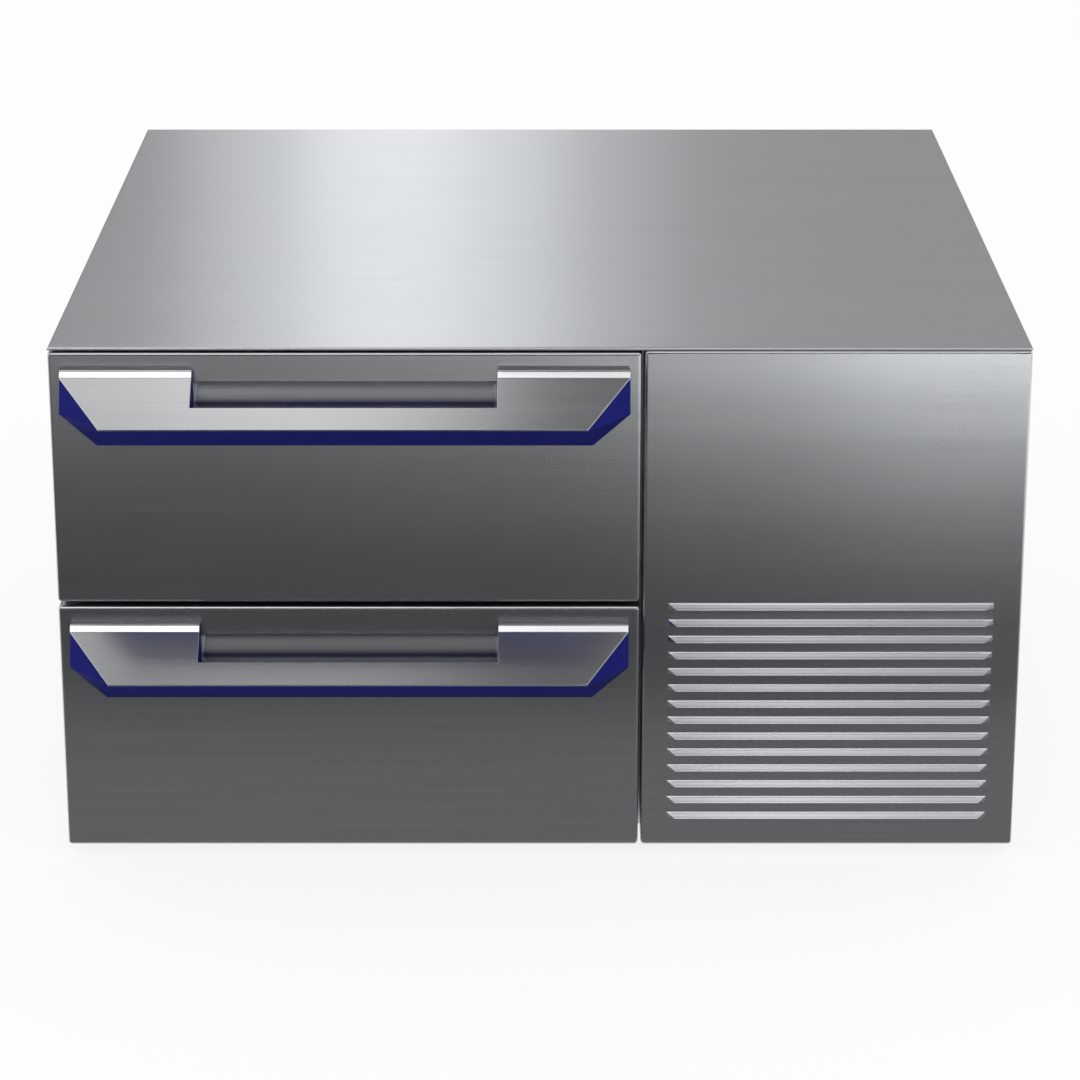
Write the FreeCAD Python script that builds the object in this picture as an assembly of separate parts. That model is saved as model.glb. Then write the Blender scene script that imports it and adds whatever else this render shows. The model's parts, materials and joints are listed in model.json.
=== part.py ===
"""Undercounter drawer refrigerator with two full-overlay drawers and a louvred service panel.

Millimetres. +Z is up, the fronts face -Y and +X is to the right. The origin lies on the floor under the
centre of the whole object. The cold cell is on the left, the machine bay on the right.
"""
import FreeCAD
import Part
import math
import os

# ---- overall size -------------------------------------------------------------------------------
BODY_W = 800.0          # cabinet width
BODY_D = 815.0          # from the drawer fronts' plane to the back
BODY_H = 438.0          # cabinet height without its feet
FOOT_H = 12.0           # low levelling feet, set back out of sight
HANDLE_OUT = 52.0       # the handles stand this far in front of the drawer fronts

HALF_W = BODY_W / 2
BACK_Y = (BODY_D + HANDLE_OUT) / 2
FRONT_Y = BACK_Y - BODY_D
BOTTOM_Z = FOOT_H
TOP_Z = FOOT_H + BODY_H

# ---- sheet and wall thicknesses -------------------------------------------------------------------
TOP_T = 2.4             # top panel
SHEET = 1.2             # outer skins, liner and face frame
SKIN_T = 1.0            # drawer front skin
FRONT_T = 38.0          # drawer front, skin to inner panel
GASKET_GAP = 8.0        # between a front's inner panel and the cabinet face
RUN_GAP = 0.3           # clearance between pieces that move against each other
TOP_EDGE_R = 2.0        # bend along the top panel's edges
FRONT_EDGE_R = 3.0      # bend along the edges of drawer fronts and service panel
EPS = 1.0               # how far a cutting solid runs past what it cuts

FACE_Y = FRONT_Y + FRONT_T + GASKET_GAP
UNDER_TOP_Z = TOP_Z - TOP_T

# ---- cold cell --------------------------------------------------------------------------------------
CELL_X0 = -358.0
CELL_X1 = 42.0
CELL_Z0 = 54.0
CELL_Z1 = 407.0
CELL_BACK_Y = 382.0
CELL_MID_X = (CELL_X0 + CELL_X1) / 2
DIVIDER_Z0 = 217.0
DIVIDER_Z1 = 241.0
DIVIDER_D = 30.0
PARTITION_X = 84.0      # foam ends here, the partition sheet stands on it

# ---- fronts: widths and heights ----------------------------------------------------------------------
FRONT_X0 = -HALF_W
FRONT_X1 = 82.8
SERVICE_X0 = 85.2
SERVICE_TOP_Z = UNDER_TOP_Z - RUN_GAP
DRAWERS = {
    "upper": {"front": (230.7, 445.8), "cell": (DIVIDER_Z1, CELL_Z1)},
    "lower": {"front": (12.0, 226.9), "cell": (CELL_Z0, DIVIDER_Z0)},
}

# ---- handle: depths are counted out from the front, drops are counted down from the front's top edge -
HANDLE_HALF_W = 231.4
HANDLE_MID_X = -158.1
HANDLE_T = 2.0
FLANGE_DROP = 12.8
FLANGE_OUT = 8.5
FACET_OUT = 12.0
FACET_DROP = 18.0
LIP_DROP = 49.8
LIP_HALF_W = 196.7
NOTCH_HALF_W = 123.9
NOTCH_MID_X = -158.4
NOTCH_OUT = 35.0        # the grip lip starts this far out
MOULD_OUT = 22.0
MOULD_SIDE_DROP = 45.6
MOULD_DROP = 72.3
MOULD_HALF_W = 201.2
GRIP_FLOOR_DROP = 63.5
GRIP_FLOOR_OUT = 24.0
GRIP_WALL_DROP = 51.5
RECESS_D = 15.0
RECESS_TOP_DROP = 24.0
RECESS_LOW_DROP = 78.0
RECESS_R = 2.5

# ---- drawer boxes and slides -------------------------------------------------------------------------
SLIDE_T = 13.0          # one slide, between cell wall and tub
SLIDE_Y0 = -330.0
SLIDE_LEN = 570.0
SLIDE_RISE = 58.0       # slide axis above the cell opening's lower edge
SLIDE_WEB = 1.6
TUB_LEN = 590.0
TUB_T = 1.2
TUB_CLEAR_Z = 9.0
TUB_RIM = 12.0
GASKET_W = 10.0
GASKET_OVER = 16.0      # the gasket's outer edge lies this far outside the cell opening

# ---- louvres -----------------------------------------------------------------------------------------
LOUVRE_N = 14
LOUVRE_PITCH = 14.4
LOUVRE_TOP_Z = 230.3
LOUVRE_X0 = 106.5
LOUVRE_X1 = 376.6
LOUVRE_OUT = 5.0
LOUVRE_DROP = 5.0
LOUVRE_TAPER = 5.4
LOUVRE_T = 0.9

# ---- base: feet and mounting holes -------------------------------------------------------------------
FOOT_X = 350.0
FOOT_YS = (-255.0, 365.0)
FOOT_STEM_R = 4.0
FOOT_PAD_R = 20.0
FOOT_PAD_T = 5.0
FOOT_COLLAR_R = 9.0
FOOT_NUT_R = 7.5
FOOT_NUT_T = 6.0
MOUNT_X = 300.0
MOUNT_YS = (-215.0, 325.0)
MOUNT_HOLE_R = 5.25
BASE_PLATE_T = 4.0
BASE_PLATE_X = (280.0, 372.0)
BASE_PLATE_MARGIN_Y = 20.0

# ---- machine bay -------------------------------------------------------------------------------------
BAY_MID_X = 242.0
FAN_Z = 140.0
FAN_R = 84.0
FAN_HOLE_R = 88.0
COIL_X = (108.0, 372.0)
COIL_Y = (-322.0, -282.0)
COIL_Z = (34.0, 246.0)
COIL_FINS = 24
COIL_TUBES = 6
COIL_TUBE_R = 4.0
COIL_TUBE_YS = (-312.0, -292.0)
COIL_STUB_X = 104.0
COIL_TOP_ROW_Z = 227.0
COIL_ROW_GAP = 35.6
COIL_BEND = 6.0
FIN_T = 0.8
END_PLATE_T = 2.0
SHROUD_X = (104.0, 376.0)
SHROUD_Z = (28.0, 252.0)
SHROUD_Y = (-282.0, -256.0)
PIPE_R = 3.0
PIPE_X = 94.0
LIQUID_Z = 275.0
DRIER_Y = (-200.0, -100.0)
DRIER_X = 120.0
COMP_Y = 20.0
COMP_R = 74.0
COMP_Z = (27.2, 205.0)
COMP_STUB_X = 150.0
COMP_FOOT_X = 80.0
COMP_FOOT_Y = 52.0
COMP_OUT = (-10.0, 100.0)
COMP_IN = (40.0, 150.0)
SUCTION_R = 5.0
CAPILLARY_R = 1.5
DRAIN_R = 6.0
DRAIN_BORE_R = 4.5
INLET_X = 330.0
INLET_Z = 350.0
INLET_HALF_W = 12.0
INLET_HALF_H = 8.0
INLET_ROOM = 0.5
INLET_FLOOR_Y = 412.0
GRILLE_SCREW_XS = (93.0, 391.0)
GRILLE_SCREW_ZS = (25.0, 228.0, 437.0)

# ---- evaporator --------------------------------------------------------------------------------------
EVAP_COVER_Y = 290.0
EVAP_FAN_Z = 300.0
EVAP_FAN_R = 40.0
EVAP_HOLE_R = 43.0
EVAP_X = (-330.0, 10.0)
EVAP_Y = (322.0, 364.0)
EVAP_Z = (80.0, 200.0)
EVAP_FINS = 34
EVAP_ROWS = 5
EVAP_ROW_PITCH = 25.0
EVAP_STUB_X = 16.0
EVAP_IN = (332.0, 190.0)
EVAP_OUT = (352.0, 95.0)
DRAIN_AT = (345.0, 66.0)

X_AXIS = FreeCAD.Vector(1, 0, 0)
Y_AXIS = FreeCAD.Vector(0, 1, 0)
Z_AXIS = FreeCAD.Vector(0, 0, 1)

NODES = {}


# ---- small tools -------------------------------------------------------------------------------------
def vec(x, y, z):
    """A point or direction."""
    return FreeCAD.Vector(x, y, z)


def box(xs, ys, zs):
    """A block between two limits on each axis."""
    corner = vec(min(xs), min(ys), min(zs))
    return Part.makeBox(abs(xs[1] - xs[0]), abs(ys[1] - ys[0]), abs(zs[1] - zs[0]), corner)


def rod(radius, start, length, axis):
    """A cylinder that starts at a point and runs along an axis."""
    return Part.makeCylinder(radius, length, vec(*start), axis)


def ring(outer, inner, start, length, axis):
    """A plain tube section."""
    hollow = rod(inner, start, length, axis)
    return rod(outer, start, length, axis).cut(hollow)


def fuse_all(solids):
    """One solid from several that share faces or overlap."""
    whole = solids[0]
    for other in solids[1:]:
        whole = whole.fuse(other)
    return whole.removeSplitter()


def cut_all(solid, tools):
    """Take every tool out of a solid."""
    for tool in tools:
        solid = solid.cut(tool)
    return solid


def prism_x(profile, x0, x1):
    """A (y, z) outline drawn out along X."""
    points = [vec(x0, y, z) for y, z in profile]
    face = Part.Face(Part.makePolygon(points + [points[0]]))
    return face.extrude(vec(x1 - x0, 0, 0))


def prism_z(outline, z0, z1):
    """An (x, y) outline drawn up along Z."""
    points = [vec(x, y, z0) for x, y in outline]
    face = Part.Face(Part.makePolygon(points + [points[0]]))
    return face.extrude(vec(0, 0, z1 - z0))


def faceted(points, faces):
    """A closed solid from named corner points and flat faces."""
    flats = []
    for names in faces:
        loop = [vec(*points[name]) for name in names]
        flats.append(Part.Face(Part.makePolygon(loop + [loop[0]])))
    return Part.Solid(Part.makeShell(flats))


def round_edges(solid, radius, wanted):
    """Round the edges whose middle point the test accepts."""
    edges = [edge for edge in solid.Edges if wanted(edge)]
    return solid.makeFillet(radius, edges)


def middle(edge):
    """The middle point of a straight edge."""
    return (edge.Vertexes[0].Point + edge.Vertexes[-1].Point) * 0.5


def along_y(edge):
    """True for an edge that runs front to back."""
    start, end = (vertex.Point for vertex in edge.Vertexes)
    return abs(start.x - end.x) + abs(start.z - end.z) < RUN_GAP


def pipe(points, radius, bend):
    """A round bar along straight runs joined by arcs of one bend radius."""
    corners = [vec(*point) for point in points]
    edges = []
    here = corners[0]
    for index in range(1, len(corners) - 1):
        corner = corners[index]
        back = (corners[index - 1] - corner).normalize()
        ahead = (corners[index + 1] - corner).normalize()
        half = back.getAngle(ahead) / 2
        reach = bend / math.tan(half)
        start = corner + back * reach
        end = corner + ahead * reach
        inward = (back + ahead).normalize()
        top = corner + inward * (bend / math.sin(half) - bend)
        if (start - here).Length > RUN_GAP / 10:
            edges.append(Part.makeLine(here, start))
        edges.append(Part.Arc(start, top, end).toShape())
        here = end
    edges.append(Part.makeLine(here, corners[-1]))
    heading = corners[1] - corners[0]
    profile = Part.Wire(Part.makeCircle(radius, corners[0], heading))
    return Part.Wire(edges).makePipeShell([profile], True, False)


def offset_profile(profile, thickness):
    """The same open line, moved inwards (down and back) by a sheet's thickness."""
    moved = []
    normals = []
    for first, second in zip(profile, profile[1:]):
        run = (second[0] - first[0], second[1] - first[1])
        length = math.hypot(*run)
        normals.append((-run[1] / length, run[0] / length))
    for index, (out, drop) in enumerate(profile):
        before = normals[max(index - 1, 0)]
        after = normals[min(index, len(normals) - 1)]
        mean = (before[0] + after[0], before[1] + after[1])
        scale = 2 * thickness / (mean[0] ** 2 + mean[1] ** 2)
        moved.append((out + mean[0] * scale, drop + mean[1] * scale))
    return moved


def node(name, *solids):
    """Keep the solids of one named piece."""
    NODES[name] = list(solids)


# ---- cabinet -----------------------------------------------------------------------------------------
def wall_passages(grow):
    """Round passages through the partition for drain, capillary and suction line."""
    sizes = ((DRAIN_AT, DRAIN_R), (EVAP_IN, CAPILLARY_R), (EVAP_OUT, SUCTION_R))
    length = SERVICE_X0 - CELL_X1 + 2 * EPS
    return [rod(r + grow, (CELL_X1 - EPS, y, z), length, X_AXIS) for (y, z), r in sizes]


def base_pockets():
    """Room in the floor foam over the base plates, nuts and mounting studs."""
    nut_room_r = FOOT_NUT_R + 2.5
    stud_room_r = 2 * MOUNT_HOLE_R
    nut_room_h = 20.0
    stud_room_h = 30.0
    x_low = -BASE_PLATE_X[1] - RUN_GAP
    x_high = -BASE_PLATE_X[0] + RUN_GAP
    top = BOTTOM_Z + SHEET + BASE_PLATE_T + RUN_GAP
    pockets = []
    for foot_y, mount_y in zip(FOOT_YS, MOUNT_YS):
        low = min(foot_y, mount_y) - BASE_PLATE_MARGIN_Y - RUN_GAP
        high = max(foot_y, mount_y) + BASE_PLATE_MARGIN_Y + RUN_GAP
        pockets.append(box((x_low, x_high), (low, high), (BOTTOM_Z, top)))
        pockets.append(rod(nut_room_r, (-FOOT_X, foot_y, BOTTOM_Z), nut_room_h, Z_AXIS))
        pockets.append(rod(stud_room_r, (-MOUNT_X, mount_y, BOTTOM_Z), stud_room_h, Z_AXIS))
    return pockets


def make_top_panel():
    """Worktop sheet over the whole plan, its edges and corners bent round."""
    plate = box((-HALF_W, HALF_W), (FRONT_Y, BACK_Y), (UNDER_TOP_Z, TOP_Z))
    plate = round_edges(plate, TOP_EDGE_R, lambda edge: middle(edge).z > TOP_Z - EPS)
    node("top_panel", plate)


def make_side_panels():
    """Plain outer side sheets from the base to the worktop."""
    for side, name in ((-1, "side_panel_left"), (1, "side_panel_right")):
        outer = side * HALF_W
        inner = side * (HALF_W - SHEET)
        node(name, box((outer, inner), (FACE_Y + SHEET, BACK_Y), (BOTTOM_Z, UNDER_TOP_Z)))


def make_face_frame():
    """Flat steel members round the two drawer openings and the machine bay opening."""
    ys = (FACE_Y, FACE_Y + SHEET)
    full = (BOTTOM_Z, UNDER_TOP_Z)
    bay_stile = 15.0
    bay_rail = 18.0
    bay_header = 27.6
    members = [
        box((-HALF_W, CELL_X0), ys, full),
        box((CELL_X1, SERVICE_X0), ys, full),
        box((CELL_X0, CELL_X1), ys, (CELL_Z1, UNDER_TOP_Z)),
        box((CELL_X0, CELL_X1), ys, (BOTTOM_Z, CELL_Z0)),
        box((HALF_W - bay_stile, HALF_W), ys, full),
        box((SERVICE_X0, HALF_W - bay_stile), ys, (UNDER_TOP_Z - bay_header, UNDER_TOP_Z)),
        box((SERVICE_X0, HALF_W - bay_stile), ys, (BOTTOM_Z, BOTTOM_Z + bay_rail)),
    ]
    node("face_frame", *members)


def make_divider_rail():
    """Channel between the two drawer openings that both gaskets close on."""
    xs = (CELL_X0, CELL_X1)
    outer = box(xs, (FACE_Y, FACE_Y + DIVIDER_D), (DIVIDER_Z0, DIVIDER_Z1))
    ys = (FACE_Y + SHEET, FACE_Y + DIVIDER_D + EPS)
    hollow = box(xs, ys, (DIVIDER_Z0 + SHEET, DIVIDER_Z1 - SHEET))
    node("divider_rail", outer.cut(hollow))


def make_back_panels():
    """Plain back sheet behind the cell and a slotted, screwed-on one behind the machine bay."""
    ys = (BACK_Y - SHEET, BACK_Y)
    zs = (BOTTOM_Z + SHEET, UNDER_TOP_Z)
    inner_x = HALF_W - SHEET
    node("back_panel", box((-inner_x, SERVICE_X0), ys, zs))
    slot_n = 9
    slot_xs = (125.0, 360.0)
    slot_low_z = 70.0
    slot_h = 8.0
    slot_pitch = 20.0
    through = (ys[0] - EPS, ys[1] + EPS)
    cuts = []
    for index in range(slot_n):
        low = slot_low_z + index * slot_pitch
        cuts.append(box(slot_xs, through, (low, low + slot_h)))
    inlet_xs = (INLET_X - INLET_HALF_W - INLET_ROOM, INLET_X + INLET_HALF_W + INLET_ROOM)
    inlet_zs = (INLET_Z - INLET_HALF_H - INLET_ROOM, INLET_Z + INLET_HALF_H + INLET_ROOM)
    cuts.append(box(inlet_xs, through, inlet_zs))
    shank_r = 2.0
    shank_len = 6.0
    head_r = 3.8
    head_t = 1.6
    screws = []
    for x in GRILLE_SCREW_XS:
        for z in GRILLE_SCREW_ZS:
            cuts.append(rod(shank_r + RUN_GAP / 3, (x, through[0], z), SHEET + 2 * EPS, Y_AXIS))
            shank = rod(shank_r, (x, ys[0] - shank_len, z), SHEET + shank_len, Y_AXIS)
            head = rod(head_r, (x, ys[0] - shank_len - head_t, z), head_t, Y_AXIS)
            screws.append(shank.fuse(head).removeSplitter())
    node("rear_grille", cut_all(box((SERVICE_X0, inner_x), ys, zs), cuts))
    node("rear_screws", *screws)


def make_base_pan():
    """Bottom sheet with four welded plates, bored for the feet and for bolting the unit down."""
    floor = box((-HALF_W + SHEET, HALF_W - SHEET), (FACE_Y + SHEET, BACK_Y - SHEET),
                (BOTTOM_Z, BOTTOM_Z + SHEET))
    solids = [floor]
    holes = []
    for side in (-1, 1):
        for foot_y, mount_y in zip(FOOT_YS, MOUNT_YS):
            xs = (side * BASE_PLATE_X[0], side * BASE_PLATE_X[1])
            ys = (min(foot_y, mount_y) - BASE_PLATE_MARGIN_Y, max(foot_y, mount_y) + BASE_PLATE_MARGIN_Y)
            solids.append(box(xs, ys, (BOTTOM_Z + SHEET, BOTTOM_Z + SHEET + BASE_PLATE_T)))
            foot = (side * FOOT_X, foot_y, BOTTOM_Z - EPS)
            mount = (side * MOUNT_X, mount_y, BOTTOM_Z - EPS)
            holes.append(rod(FOOT_STEM_R + RUN_GAP, foot, 4 * BASE_PLATE_T, Z_AXIS))
            holes.append(rod(MOUNT_HOLE_R, mount, 4 * BASE_PLATE_T, Z_AXIS))
    node("base_pan", cut_all(fuse_all(solids), holes))


def make_levelling_feet():
    """Low screw feet: a pad, a collar under the base, a stem and a nut on top."""
    nut_z = BOTTOM_Z + SHEET + BASE_PLATE_T
    cone_top_z = FOOT_PAD_T + 4.0
    cone_top_r = FOOT_COLLAR_R + 1.0
    stem_top_z = nut_z + FOOT_NUT_T + 4.8
    feet = []
    for x in (-FOOT_X, FOOT_X):
        for y in FOOT_YS:
            pad = rod(FOOT_PAD_R, (x, y, 0), FOOT_PAD_T, Z_AXIS)
            cone_h = cone_top_z - FOOT_PAD_T
            cone = Part.makeCone(FOOT_PAD_R, cone_top_r, cone_h, vec(x, y, FOOT_PAD_T), Z_AXIS)
            collar = rod(FOOT_COLLAR_R, (x, y, cone_top_z), BOTTOM_Z - cone_top_z, Z_AXIS)
            stem = rod(FOOT_STEM_R, (x, y, FOOT_PAD_T), stem_top_z - FOOT_PAD_T, Z_AXIS)
            corners = []
            for k in range(6):
                angle = math.radians(60 * k)
                corners.append((x + FOOT_NUT_R * math.cos(angle), y + FOOT_NUT_R * math.sin(angle)))
            nut = prism_z(corners, nut_z, nut_z + FOOT_NUT_T)
            feet.append(fuse_all([pad, cone, collar, stem, nut]))
    node("levelling_feet", *feet)


def make_insulation():
    """Foam blocks between the outer skins and the liner."""
    ys = (FACE_Y + SHEET, BACK_Y - SHEET)
    zs = (BOTTOM_Z + SHEET, UNDER_TOP_Z)
    left = box((-HALF_W + SHEET, CELL_X0 - SHEET), ys, zs)
    right = box((CELL_X1 + SHEET, PARTITION_X), ys, zs)
    roof = box((CELL_X0 - SHEET, CELL_X1 + SHEET), ys, (CELL_Z1 + SHEET, UNDER_TOP_Z))
    floor = box((CELL_X0 - SHEET, CELL_X1 + SHEET), ys, (BOTTOM_Z + SHEET, CELL_Z0 - SHEET))
    back = box((CELL_X0 - SHEET, CELL_X1 + SHEET), (CELL_BACK_Y + SHEET, BACK_Y - SHEET),
               (CELL_Z0 - SHEET, CELL_Z1 + SHEET))
    pockets = base_pockets()
    node("insulation_foam", cut_all(left, pockets), cut_all(right, wall_passages(RUN_GAP)), roof,
         cut_all(floor, pockets), back)


def make_liner():
    """Stainless inner walls of the cold cell, one sheet each."""
    ys = (FACE_Y + SHEET, CELL_BACK_Y)
    wide = (CELL_X0 - SHEET, CELL_X1 + SHEET)
    left = box((CELL_X0 - SHEET, CELL_X0), ys, (CELL_Z0, CELL_Z1))
    right = box((CELL_X1, CELL_X1 + SHEET), ys, (CELL_Z0, CELL_Z1))
    roof = box(wide, ys, (CELL_Z1, CELL_Z1 + SHEET))
    floor = box(wide, ys, (CELL_Z0 - SHEET, CELL_Z0))
    back = box(wide, (CELL_BACK_Y, CELL_BACK_Y + SHEET), (CELL_Z0 - SHEET, CELL_Z1 + SHEET))
    node("liner", left, cut_all(right, wall_passages(RUN_GAP)), roof, floor, back)


def make_partition():
    """Steel sheet on the machine bay side of the cell wall."""
    sheet = box((PARTITION_X, SERVICE_X0), (FACE_Y + SHEET, BACK_Y - SHEET),
                (BOTTOM_Z + SHEET, UNDER_TOP_Z))
    node("partition_panel", cut_all(sheet, wall_passages(RUN_GAP)))


# ---- cold side ---------------------------------------------------------------------------------------
def make_evaporator_coil():
    """Finned serpentine between two end plates that stand off the cell's back wall."""
    end_in = 2.0
    fin_in = 6.0
    return_out = 8.0
    top_gap = 10.0
    levels = [EVAP_Z[1] - top_gap - index * EVAP_ROW_PITCH for index in range(EVAP_ROWS)]
    left = EVAP_X[0] - return_out
    right = EVAP_X[1] - return_out
    route = [(EVAP_STUB_X, EVAP_IN[0], EVAP_IN[1]), (left, EVAP_IN[0], levels[0])]
    for index in range(1, EVAP_ROWS):
        x_here, x_next = (left, right) if index % 2 else (right, left)
        route.append((x_here, EVAP_IN[0], levels[index]))
        route.append((x_next, EVAP_IN[0], levels[index]))
    route.append((left, EVAP_OUT[0], levels[-1]))
    route.append((left, EVAP_OUT[0], EVAP_OUT[1]))
    route.append((EVAP_STUB_X, EVAP_OUT[0], EVAP_OUT[1]))
    coil = pipe(route, COIL_TUBE_R, COIL_BEND)
    pitch = (EVAP_X[1] - EVAP_X[0] - 2 * fin_in - return_out) / (EVAP_FINS - 1)
    plates = []
    for index in range(EVAP_FINS):
        x = EVAP_X[0] + fin_in + index * pitch
        plates.append(box((x, x + FIN_T), EVAP_Y, EVAP_Z))
    for x in (EVAP_X[0] + end_in, EVAP_X[1] - end_in - END_PLATE_T):
        plates.append(box((x, x + END_PLATE_T), (EVAP_Y[0], CELL_BACK_Y),
                          (EVAP_Z[0] - end_in, EVAP_Z[1] + 2 * end_in)))
    node("evaporator_coil", coil.fuse(plates).removeSplitter())


def make_evaporator_cover():
    """Sheet across the cell in front of the coil, with a fan hole, return air slots and the fan guard."""
    side_gap = 2.0
    floor_gap = 6.0
    slot_n = 8
    slot_in = 40.0
    slot_low_z = 76.0
    slot_pitch = 16.0
    slot_h = 6.0
    front_y = EVAP_COVER_Y - SHEET
    through = (front_y - EPS, EVAP_COVER_Y + EPS)
    cover = box((CELL_X0 + side_gap, CELL_X1 - side_gap), (front_y, EVAP_COVER_Y),
                (CELL_Z0 + floor_gap, CELL_Z1))
    holes = [rod(EVAP_HOLE_R, (CELL_MID_X, through[0], EVAP_FAN_Z), SHEET + 2 * EPS, Y_AXIS)]
    for index in range(slot_n):
        low = slot_low_z + index * slot_pitch
        holes.append(box((CELL_X0 + slot_in, CELL_X1 - slot_in), through, (low, low + slot_h)))
    node("evaporator_cover", cut_all(cover, holes))

    wire = 2.0
    ring_rs = (12.0, 24.0, 36.0, 50.0)
    foot_half = 3.0
    guard_ys = (front_y - 2 * wire, front_y - wire)
    pieces = [ring(radius, radius - wire, (CELL_MID_X, guard_ys[0], EVAP_FAN_Z), wire, Y_AXIS)
              for radius in ring_rs]
    for angle in (0, 90, 180, 270):
        outer_x = CELL_MID_X + ring_rs[-1]
        bar = box((CELL_MID_X + ring_rs[0] - 1.5 * wire, outer_x), guard_ys,
                  (EVAP_FAN_Z - wire / 2, EVAP_FAN_Z + wire / 2))
        foot = box((outer_x - 2 * wire, outer_x), (guard_ys[1], front_y),
                   (EVAP_FAN_Z - foot_half, EVAP_FAN_Z + foot_half))
        for piece in (bar, foot):
            piece.rotate(vec(CELL_MID_X, 0, EVAP_FAN_Z), Y_AXIS, angle)
            pieces.append(piece)
    node("evaporator_fan_guard", fuse_all(pieces))


def make_drain():
    """Drip tray under the coil and the tube that leads its water to the machine bay."""
    tray_xs = (CELL_X0 + 13.0, EVAP_STUB_X + 4.0)
    tray_ys = (306.0, 376.0)
    tray_zs = (58.0, 76.0)
    foot_w = 20.0
    outer = box(tray_xs, tray_ys, tray_zs)
    inner = box((tray_xs[0] + SHEET, tray_xs[1] - SHEET), (tray_ys[0] + SHEET, tray_ys[1] - SHEET),
                (tray_zs[0] + SHEET, tray_zs[1] + EPS))
    feet = [box((x, x + foot_w), tray_ys, (CELL_Z0, tray_zs[0])) for x in (-300.0, -40.0)]
    outlet = rod(DRAIN_BORE_R, (tray_xs[1] - 2 * SHEET, *DRAIN_AT), 4 * SHEET, X_AXIS)
    node("drip_tray", fuse_all([outer.cut(inner)] + feet).cut(outlet))

    y, z = DRAIN_AT
    drop_x = 130.0
    mouth = (280.0, 40.0)
    bend = 14.0
    route = [(tray_xs[1], y, z), (drop_x, y, z), (drop_x, mouth[0], z), (drop_x, *mouth)]
    node("drain_tube", pipe(route, DRAIN_R, bend).cut(pipe(route, DRAIN_BORE_R, bend)))


def make_air_probe():
    """Temperature bulb held by a clip on the coil cover."""
    bulb_x = -60.0
    bulb_zs = (190.0, 232.0)
    bulb_r = 3.0
    clip_half_w = 4.0
    clip_zs = (212.0, 220.0)
    front_y = EVAP_COVER_Y - SHEET
    clip = box((bulb_x - clip_half_w, bulb_x + clip_half_w), (front_y - bulb_r, front_y), clip_zs)
    bulb = rod(bulb_r, (bulb_x, front_y - bulb_r, bulb_zs[0]), bulb_zs[1] - bulb_zs[0], Z_AXIS)
    node("air_probe", fuse_all([bulb, clip]))


def fan_wheel(centre_x, centre_z, y0, depth, hub_r, radius, blades):
    """A hub with flat pitched blades, cut to a circle."""
    blade_t = 1.8
    pitch_angle = 28.0
    chord = radius * 0.75
    hub = rod(hub_r, (centre_x, y0, centre_z), depth, Y_AXIS)
    mid_y = y0 + depth / 2
    vanes = []
    for index in range(blades):
        vane = box((centre_x, centre_x + radius + 2 * hub_r), (mid_y - blade_t / 2, mid_y + blade_t / 2),
                   (centre_z - chord / 2, centre_z + chord / 2))
        vane.rotate(vec(centre_x, mid_y, centre_z), X_AXIS, pitch_angle)
        vane.rotate(vec(centre_x, mid_y, centre_z), Y_AXIS, 360.0 * index / blades)
        vanes.append(vane)
    swept = vanes[0].fuse(vanes[1:]).common(ring(radius, hub_r / 2, (centre_x, y0, centre_z), depth, Y_AXIS))
    return hub.fuse(swept).removeSplitter()


def fan_motor(centre_x, centre_z, y0, length, radius, bore_r, bore_depth):
    """Motor can with a stepped nose and the bore that the shaft runs in."""
    can_edge_r = 3.0
    nose_out = 5.0
    nose_r = radius * 0.4
    can = rod(radius, (centre_x, y0, centre_z), length, Y_AXIS)
    can = round_edges(can, can_edge_r, lambda edge: True)
    nose = rod(nose_r, (centre_x, y0 - nose_out, centre_z), nose_out + can_edge_r, Y_AXIS)
    bore = rod(bore_r, (centre_x, y0 - nose_out - EPS, centre_z), bore_depth + EPS, Y_AXIS)
    return can.fuse(nose).removeSplitter().cut(bore)


def motor_legs(centre_x, centre_z, ring_r, ring_ys, reach, front_y, width):
    """A clamp ring with four arms that come forward to a sheet."""
    strap = 3.0
    zs = (centre_z - width / 2, centre_z + width / 2)
    pieces = [ring(ring_r + strap, ring_r, (centre_x, ring_ys[0], centre_z), ring_ys[1] - ring_ys[0], Y_AXIS)]
    for angle in (45, 135, 225, 315):
        arm = box((centre_x + ring_r + strap / 3, centre_x + reach), (ring_ys[0], ring_ys[0] + strap), zs)
        leg = box((centre_x + reach - strap, centre_x + reach), (front_y, ring_ys[0] + strap), zs)
        for piece in (arm, leg):
            piece.rotate(vec(centre_x, 0, centre_z), Y_AXIS, angle)
            pieces.append(piece)
    return fuse_all(pieces)


def make_evaporator_fan():
    """Small axial fan behind the cover; the wheel carries the shaft."""
    shaft_r = 2.0
    shaft_len = 16.0
    bearing_gap = 0.05
    wheel_y = EVAP_COVER_Y + 3.0
    depth = 16.0
    hub_r = 14.0
    blades = 5
    motor_gap = 12.0
    motor_len = 36.0
    motor_r = 22.0
    bore_depth = 12.0
    clamp_ys = (8.0, 16.0)
    leg_reach = 58.0
    leg_w = 8.0
    motor_y = wheel_y + depth + motor_gap
    wheel = fan_wheel(CELL_MID_X, EVAP_FAN_Z, wheel_y, depth, hub_r, EVAP_FAN_R, blades)
    shaft = rod(shaft_r, (CELL_MID_X, wheel_y + depth - shaft_r, EVAP_FAN_Z), shaft_len, Y_AXIS)
    node("evaporator_fan_blade", wheel.fuse(shaft).removeSplitter())
    motor = fan_motor(CELL_MID_X, EVAP_FAN_Z, motor_y, motor_len, motor_r, shaft_r + bearing_gap, bore_depth)
    legs = motor_legs(CELL_MID_X, EVAP_FAN_Z, motor_r, [motor_y + y for y in clamp_ys], leg_reach,
                      EVAP_COVER_Y, leg_w)
    node("evaporator_fan_motor", motor.fuse(legs).removeSplitter())


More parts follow.
